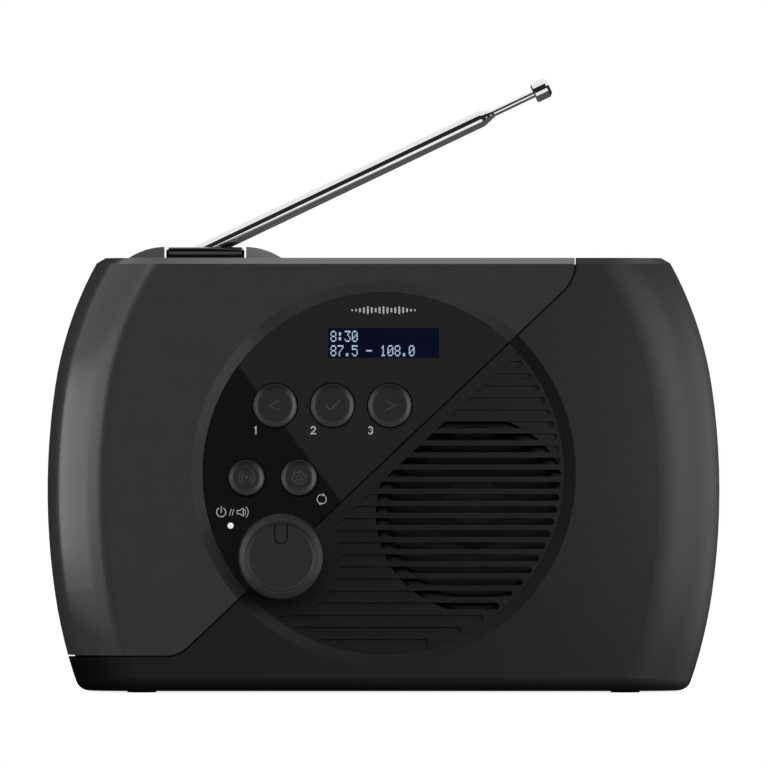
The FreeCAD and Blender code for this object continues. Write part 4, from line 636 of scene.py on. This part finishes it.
# x of the feet of the two slashes
SLASHES = (-50.32, -49.42)
# the pictogram's bars: the z of their middles, their spacing, their width and their heights
BAR_MIDDLE = 124.9
BAR_PITCH = 1.28
BAR_WIDTH = 0.6
BARS = (0.5, 0.9, 1.4, 2.0, 2.6, 2.0, 1.5, 2.2, 2.6, 2.2, 1.5, 2.0, 2.6, 2.0, 1.4, 0.9, 0.5)


def make_panel_prints(white):
    """The white marks on the panel: digits by the keys, the signs round the knob, and a row of bars."""
    marks = Print(PANEL_FACE)
    for number, name in enumerate(list(KEYS)[:3]):
        x, z, _ = place_of(name)
        draw_digit(marks, number + 1, x - 6.3, z - 8.1)
    draw_power_sign(marks, *POWER_SIGN)
    for left in SLASHES:
        marks.stroke([(left, 57.95), (left + 0.62, 59.95)], 0.24)
    draw_speaker_sign(marks, *SPEAKER_SIGN)
    draw_cycle_sign(marks, *CYCLE_SIGN)
    marks.piece("panel_marks", "root", white, "white_plastic")
    bars = Print(PANEL_FACE)
    cap = BAR_WIDTH / 2.0
    for index, height in enumerate(BARS):
        x = (index - (len(BARS) - 1) / 2.0) * BAR_PITCH
        bars.stroke([(x, BAR_MIDDLE - height / 2.0 + cap), (x, BAR_MIDDLE + height / 2.0 - cap)], BAR_WIDTH)
    bars.piece("sound_pictogram", "root", white, "white_plastic")


def draw_digit(marks, number, x, z):
    """One of the digits 1 to 3, centred on (x, z)."""
    top = z + 1.1
    low = z - 1.1
    width = 0.46
    if number == 1:
        marks.stroke([(x - 0.35, top - 0.35), (x, top), (x, low)], width)
    elif number == 2:
        marks.stroke(arc(x, top - 0.62, 0.66, 165.0, -35.0, 14) + [(x - 0.68, low), (x + 0.75, low)], width)
    else:
        marks.stroke(arc(x, top - 0.55, 0.58, 150.0, -80.0, 12), width)
        marks.stroke(arc(x, low + 0.62, 0.66, 80.0, -150.0, 12), width)


def draw_power_sign(marks, x, z):
    """An open ring with a bar through its gap."""
    width = 0.33
    marks.stroke(arc(x, z, 1.5, 125.0, 415.0, 40), width)
    marks.stroke([(x, z + 1.75), (x, z - 0.1)], width)


def draw_speaker_sign(marks, x, z):
    """The outline of a small speaker, from (x, z) to the right, with two waves."""
    marks.stroke([(x, z + 0.55), (x + 0.85, z + 0.55), (x + 1.95, z + 1.3), (x + 1.95, z - 1.3),
                  (x + 0.85, z - 0.55), (x, z - 0.55)], 0.28, True)
    marks.stroke(arc(x + 1.4, z, 1.3, -42.0, 42.0), 0.24)
    marks.stroke(arc(x + 1.4, z, 2.2, -48.0, 48.0), 0.26)


def draw_cycle_sign(marks, x, z):
    """Two arrows that follow each other round a circle."""
    radius = 1.5
    for turn in (0.0, 180.0):
        marks.stroke(arc(x, z, radius, 84.0 + turn, 220.0 + turn), 0.29)
        angle = math.radians(60.0 + turn)
        tip = Vector((x + radius * math.cos(angle), z + radius * math.sin(angle)))
        ahead = Vector((math.sin(angle), -math.cos(angle)))
        side = Vector((math.cos(angle), math.sin(angle)))
        back = tip - ahead * 0.55
        marks.slab([tuple(tip + ahead * 0.45), tuple(back + side * 0.5), tuple(back - side * 0.5)])


# ---------------------------------------------------------------- display

# each character's rows of dots, from the top
DOTS = {
    "0": "01110 10001 10011 10101 11001 10001 01110",
    "1": "00100 01100 00100 00100 00100 00100 01110",
    "3": "11111 00010 00100 00010 00001 10001 01110",
    "5": "11111 10000 11110 00001 00001 10001 01110",
    "7": "11111 00001 00010 00100 01000 01000 01000",
    "8": "01110 10001 10001 01110 10001 10001 01110",
    ".": "00000 00000 00000 00000 00000 01100 01100",
    ":": "00000 01100 01100 00000 01100 01100 00000",
    "-": "00000 00000 00000 11111 00000 00000 00000",
    " ": "00000 00000 00000 00000 00000 00000 00000",
}
READOUT = ("8:30", "87.5 - 108.0")


def make_readout(lit_dots):
    """Digits of lit dots, just in front of the display glass."""
    dots = Print(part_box("display_glass")[0][1] / MM - 0.02, 0.01)
    left, top = -17.3, 118.15
    cell, line = 2.324, 4.7
    step_x, step_z = 0.387, 0.52
    width, height = 0.34, 0.46
    for row, text in enumerate(READOUT):
        for column, letter in enumerate(text):
            for down, bits in enumerate(DOTS[letter].split()):
                for across, bit in enumerate(bits):
                    if bit == "0":
                        continue
                    x = left + column * cell + across * step_x
                    z = top - row * line - down * step_z
                    dots.slab([(x, z - height), (x + width, z - height), (x + width, z), (x, z)])
    dots.piece("display_readout", "root", lit_dots, "display_glass")


# ---------------------------------------------------------------- battery springs

def make_springs(steel):
    """Coiled battery springs, wide at the wall and narrow at the tip."""
    low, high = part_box("battery_springs")
    rows = 4
    radius = 4.0
    tip_radius = 2.4
    length = 5.0
    wire = 0.35
    turns, steps, around = 4.5, 150, 10
    first = low[2] / MM + radius
    pitch = ((high[2] - low[2]) / MM - radius * 2.0) / (rows - 1)
    y = (low[1] + high[1]) / 2.0 / MM
    lift = Vector((1.0, 0.0, 0.0))
    points = []
    faces = []
    for row in range(rows):
        # the springs stand on one wall and on the other in turn
        wall, side = (low[0] / MM, 1.0) if row % 2 == 0 else (high[0] / MM, -1.0)
        z = first + pitch * row
        faces += skin(steps + 1, around, len(points))
        for step in range(steps + 1):
            part = step / steps
            angle = part * turns * math.tau
            reach = (radius - wire) * (1.0 - part) + (tip_radius - wire) * part
            outward = Vector((0.0, math.cos(angle), math.sin(angle)))
            centre = Vector((wall + side * (wire + part * (length - wire * 2.0)), y, z)) + outward * reach
            for index in range(around):
                turn = math.tau * index / around
                points.append(centre + (outward * math.cos(turn) + lift * math.sin(turn)) * wire)
    coils = build("battery_spring_coils", points, faces, "root", steel, 60.0)
    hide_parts("battery_springs")


# ---------------------------------------------------------------- lamp

def make_lamp(glow):
    """The small round lamp under the signs by the knob."""
    x, z, face = place_of("light_pipe")
    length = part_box("light_pipe")[1][1] / MM - face
    radius = 0.96
    middle = 0.05
    raised = 0.04
    outline = softened([(middle, 0.0), (radius, 0.0), (radius, length), (middle, length)], 0.2, 4)
    points, faces = lathe(outline, (x, face, z + raised), 48)
    lamp = build("lamp_lens", points, faces, "root", glow)
    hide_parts("light_pipe")


# ---------------------------------------------------------------- antenna

# where the antenna turns, in millimetres, and the directions along and across it at rest
LEAN = math.radians(25.5)
PIVOT = Vector((-63.9, 31.0, 142.3))
ALONG = Vector((math.cos(LEAN), 0.0, math.sin(LEAN)))
UPWARD = Vector((-math.sin(LEAN), 0.0, math.cos(LEAN)))
FRONTWARD = Vector((0.0, -1.0, 0.0))
# the points round a section, and how square a round one and a boxy one are
AROUND = 64
ROUND = 2.0
BOXY = 9.0


def section(length, reach, height, square):
    """Points round the antenna's line: an oval that turns into a box as square grows from ROUND to BOXY."""
    made = []
    for index in range(AROUND):
        angle = math.tau * index / AROUND
        across = math.copysign(abs(math.cos(angle)) ** (2.0 / square), math.cos(angle)) * reach
        up = math.copysign(abs(math.sin(angle)) ** (2.0 / square), math.sin(angle)) * height
        made.append(PIVOT + ALONG * length + FRONTWARD * across + UPWARD * up)
    return made


def swept(name, node, body, rows, chrome):
    """A chrome piece through rows of (length, reach, height, square), in place of a CAD node."""
    points = []
    for row in rows:
        points += section(*row)
    item = build(name, points, skin(len(rows), AROUND), body, chrome, 30.0)
    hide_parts(node)


def round_rows(corners):
    """Rows for swept from the (radius, length) corners of a round tube."""
    return [(length, radius, radius, ROUND) for radius, length in corners]


def make_antenna(chrome):
    """The mast, with a flat heel that turns into a round tube, and its tapered sliding tubes."""
    radius = 2.7
    flat = 2.55
    inside = 2.25
    neck = 2.4
    steps = 12
    rows = []
    for step in range(1, steps + 1):
        angle = math.radians(90.0 * step / steps)
        rows.append((-radius * math.cos(angle), flat, radius * math.sin(angle), BOXY))
    steps = 8
    for step in range(steps + 1):
        part = step / steps
        square = BOXY * (1.0 - part) + ROUND * part
        rows.append((neck + neck * part, flat + (radius - flat) * part, radius, square))
    mouth = [(radius, 60.0), (radius, 106.5), (inside + 0.04, 108.0), (inside, 107.9), (inside, 60.0)]
    rows += round_rows(softened(mouth, 0.3))
    rows += round_rows([(inside, 12.0)])
    swept("antenna_mast_tube", "antenna_mast", "antenna_mast", rows, chrome)
    for name, node, body, radius, inside, start, taper, end in (
        ("antenna_middle_sleeve", "antenna_middle_tube", "antenna_middle", 2.2, 1.75, 12.5, 108.0, 109.5),
        ("antenna_inner_sleeve", "antenna_inner_tube", "antenna_inner", 1.7, 1.3, 14.0, 109.5, 111.0),
    ):
        corners = [
            (inside, start + 0.1), (inside + 0.05, start), (radius - 0.1, start), (radius, start + 0.1),
            (radius, taper), (inside + 0.04, end), (inside, end - 0.05), (inside, start + 0.1),
        ]
        swept(name, node, body, round_rows(corners), chrome)


# ---------------------------------------------------------------- stage

# the pieces that each group of lights falls on; "rest" in LEVELS is all the others
GROUPS = {
    "cover": ("front_cover",),
    "shell": ("front_housing", "speaker_grille"),
    "rear": ("rear_housing", "battery_door"),
    "panel": ("control_panel", "panel_marks", "sound_pictogram", "lamp_lens"),
    "window": ("display_window", "display_glass", "display_readout"),
    "keys": tuple(name + end for end in ("_cap", "_sign") for name in KEYS),
    "knob": ("volume_knob_turned",),
    "hump": ("antenna_cradle",),
    "barrel": ("antenna_barrel", "antenna_pivot_screw"),
    "antenna": ("antenna_mast_tube", "antenna_middle_sleeve", "antenna_inner_sleeve", "antenna_rod",
                "antenna_tip"),
}

# name: centre, target, width, height, in metres
BOXES = {
    "front": ((0.0, -1.3, 0.75), (0.0, 0.0, 0.08), 1.4, 0.7),
    "axis": ((0.0, -1.5, 0.1), (0.0, 0.0, 0.1), 0.5, 0.5),
    "top_cover": ((0.1115, 0.0, 0.36), (0.1115, 0.0, 0.1), 0.317, 0.16),
    "top_fade": ((-0.0535, 0.0, 0.36), (-0.0535, 0.0, 0.1), 0.013, 0.16),
    "top_faint": ((-0.0665, 0.0, 0.36), (-0.0665, 0.0, 0.1), 0.013, 0.16),
    "right_glow": ((0.150, -0.085, 0.09), (0.08, -0.03, 0.09), 0.08, 0.14),
    "hump_near": ((-0.01, -0.09, 0.152), (-0.045, 0.02, 0.143), 0.05, 0.03),
    "top": ((0.0, 0.15, 0.85), (0.0, 0.05, 0.1), 1.0, 0.7),
    "left_wall": ((-0.5867, -0.1648, 0.095), (-0.1057, -0.028, 0.095), 0.68, 0.22),
    "left_front": ((-0.4321, -0.7084, 0.13), (0.0489, -0.5716, 0.13), 0.45, 0.22),
    "left_tall": ((-0.545, -0.386, 0.24), (-0.064, -0.2492, 0.24), 1.13, 0.62),
    "left_soft": ((-0.53, -0.68, 0.1), (0.0, 0.0, 0.08), 0.45, 0.6),
    "right_soft": ((0.53, -0.68, 0.1), (0.0, 0.0, 0.08), 0.45, 0.6),
    "right_near": ((0.33, -0.22, 0.1), (0.05, 0.0, 0.07), 0.12, 0.3),
    "right_far": ((0.8, 0.1, 0.1), (0.1, 0.0, 0.08), 0.9, 0.5),
    "zenith": ((0.0, 0.35, 0.8), (0.0, 0.35, 0.1), 1.2, 0.6),
    "strip": ((-0.04, 0.11, 0.75), (-0.04, 0.11, 0.1), 0.6, 0.2),
    "right_front": ((0.32, -0.5, 0.12), (0.1, 0.0, 0.08), 0.2, 0.4),
    "below": ((0.0, -0.6, -0.35), (0.0, 0.0, 0.1), 0.6, 0.3),
    "back": ((0.0, 1.3, 0.6), (0.0, 0.0, 0.1), 1.4, 0.8),
    "low_right": ((0.5, -0.6, -0.25), (0.0, 0.0, 0.07), 0.4, 0.4),
    "right_mid": ((0.75, -0.45, 0.1), (0.0, 0.0, 0.07), 0.4, 0.4),
    "right_back": ((0.6, 0.7, 0.1), (0.05, 0.0, 0.07), 0.7, 0.5),
    "sky": ((0.0, 0.45, 0.62), (0.0, 0.45, 0.1), 1.2, 1.45),
    "ant_back": ((0.0, 1.2, 0.35), (0.0, 0.0, 0.18), 1.2, 0.5),
    "ant_front": ((0.0, -1.2, -0.23), (0.0, 0.0, 0.18), 1.4, 0.75),
    "ant_under": ((0.05, 0.05, 0.1475), (0.05, 0.05, 0.3), 0.3, 0.22),
}

# group: the brightness of each softbox that falls on it, where 1 is white
LEVELS = {
    "cover": {"front": 1.3, "axis": 0.2, "top_cover": 1.45, "top_fade": 1.0, "top_faint": 0.5, "top": 1.4,
              "left_wall": 1.95, "left_front": 1.1, "left_tall": 0.95, "low_right": 0.8, "below": 1.5,
              "right_mid": 0.45, "right_front": 1.05},
    "shell": {"front": 1.2, "axis": 0.09, "zenith": 1.8, "right_glow": 1.8, "right_near": 1.3,
              "right_front": 1.5, "right_far": 1.9, "right_back": 0.1, "left_soft": 0.3},
    "rear": {"front": 1.4, "zenith": 1.7, "right_near": 2.0, "right_front": 1.5, "right_far": 1.6,
             "right_back": 0.6, "left_soft": 0.5, "back": 4.6},
    "panel": {"front": 3.5, "axis": 0.08},
    "keys": {"front": 0.65, "axis": 0.09, "left_soft": 3.4, "right_soft": 2.1, "low_right": 0.8},
    "knob": {"front": 0.75, "left_soft": 2.6, "right_soft": 1.9, "below": 0.5, "low_right": 0.5, "top": 2.0},
    "window": {"front": 0.5},
    "hump": {"front": 1.6, "hump_near": 14.0},
    "barrel": {"front": 1.6, "strip": 0.83, "axis": 1.0, "back": 1.0},
    "antenna": {"sky": 0.89, "ant_back": 0.8, "ant_front": 0.9, "ant_under": 0.06},
    "rest": {"front": 4.0, "top": 1.0, "back": 3.0},
}

# the card's brightness, and its distance and size in metres
CARD = 0.24
CARD_DISTANCE = 0.5
CARD_WIDTH = 0.16
CARD_HEIGHT = 0.26
# where the reflection of its edge starts and ends on the panel, (x, z) in millimetres
EDGE_TOP = (-44.2, 102.8)
EDGE_LOW = (-13.9, 62.8)

FLOOR_RADIUS = 0.32


def make_camera():
    data = bpy.data.cameras.new("camera")
    data.sensor_width = SENSOR
    data.lens = SENSOR * CAMERA_DISTANCE / (PHOTO_WIDTH * MM)
    item = placed("camera", data)
    item.location = (CAMERA_SIDE, -CAMERA_DISTANCE, CAMERA_HEIGHT)
    item.rotation_euler = (math.radians(90.0), 0.0, 0.0)
    bpy.context.scene.camera = item


def make_world():
    """White where the camera sees it, and nearly black to everything else."""
    world = bpy.data.worlds.new("studio")
    bpy.context.scene.world = world
    world.use_nodes = True
    tree = world.node_tree
    path = tree.nodes.new("ShaderNodeLightPath")
    pick = tree.nodes.new("ShaderNodeMix")
    pick.data_type = "RGBA"
    colours = colour_sockets(pick.inputs)
    colours[0].default_value = (0.02, 0.02, 0.02, 1.0)
    colours[1].default_value = (1.0, 1.0, 1.0, 1.0)
    tree.links.new(path.outputs["Is Camera Ray"], pick.inputs["Factor"])
    tree.links.new(colour_sockets(pick.outputs)[0], tree.nodes["Background"].inputs["Color"])


def make_floor():
    """A white round floor that neither lights nor shades the radio."""
    mesh = bpy.data.meshes.new("floor")
    shape = bmesh.new()
    bmesh.ops.create_circle(shape, cap_ends=True, segments=96, radius=FLOOR_RADIUS)
    shape.to_mesh(mesh)
    shape.free()
    item = placed("floor", mesh)
    finish = Finish("floor")
    finish.colour(finish.blend(finish.ramp(finish.noise(40.0)), (0.9, 0.9, 0.9), (0.93, 0.93, 0.93)))
    finish.set(Roughness=0.9, Emission_Color=(1.0, 1.0, 1.0, 1.0), Emission_Strength=0.8)
    mesh.materials.append(finish.material)
    item.visible_diffuse = False
    item.visible_glossy = False
    item.visible_shadow = False


def flat_light(name, width, height, radiance, matrix):
    """A light of that size in metres and that brightness, where 1 is white, which shines along its -Z."""
    data = bpy.data.lights.new(name, "AREA")
    data.shape = "RECTANGLE"
    data.size = width
    data.size_y = height
    data.energy = radiance * math.pi * width * height
    item = placed(name, data)
    item.matrix_world = matrix
    item.visible_camera = False
    return item


def softbox(name, centre, target, width, height, radiance):
    """A flat light that faces its target."""
    facing = (Vector(target) - Vector(centre)).to_track_quat("-Z", "Y")
    matrix = Matrix.Translation(centre) @ facing.to_matrix().to_4x4()
    return flat_light(name, width, height, radiance, matrix)


def card_light():
    """A dim card in front, whose edge the glossy panel reflects from EDGE_TOP to EDGE_LOW."""
    grow = 1.0 + CARD_DISTANCE / CAMERA_DISTANCE
    centre = Vector((CAMERA_SIDE / MM, CAMERA_HEIGHT / MM))
    start = centre + (Vector(EDGE_TOP) - centre) * grow
    end = centre + (Vector(EDGE_LOW) - centre) * grow
    along = (end - start).normalized()
    outward = Vector((-along.y, along.x))
    middle = (start + end) / 2.0 * MM + outward * (CARD_WIDTH / 2.0)
    across = Vector((outward.x, 0.0, outward.y))
    facing = Vector((0.0, 1.0, 0.0))
    turned = Matrix((across, across.cross(facing), -facing)).transposed().to_4x4()
    matrix = Matrix.Translation((middle.x, -CARD_DISTANCE, middle.y)) @ turned
    return flat_light("card", CARD_WIDTH, CARD_HEIGHT, CARD, matrix)


def make_lights():
    """Softboxes round the radio. Each one lights one group of pieces, as bright as LEVELS says."""
    members = {name: group for group, names in GROUPS.items() for name in names}
    gathered = {group: [] for group in LEVELS}
    for item in bpy.context.scene.objects:
        if item.type == "MESH" and not item.hide_render:
            gathered[members.get(item.name, "rest")].append(item)
    for group, levels in LEVELS.items():
        lit_set = bpy.data.collections.new("lit_" + group)
        for item in gathered[group]:
            lit_set.objects.link(item)
        lights = [softbox(f"{name}_{group}", *BOXES[name], level) for name, level in levels.items()]
        if group == "panel":
            lights.append(card_light())
        for light in lights:
            light.light_linking.receiver_collection = lit_set


# ---------------------------------------------------------------- the whole

def main():
    view = bpy.context.scene.view_settings
    view.view_transform = "Standard"
    make_camera()
    make_world()
    dress_nodes()
    make_keys(MATERIALS["button_plastic"], MATERIALS["key_signs"])
    make_knob(MATERIALS["knob_plastic"])
    make_panel_prints(MATERIALS["white_ink"])
    make_readout(MATERIALS["lit_dots"])
    make_springs(MATERIALS["steel"])
    make_antenna(MATERIALS["chrome"])
    make_lamp(MATERIALS["lamp_glow"])
    make_floor()
    make_lights()


main()
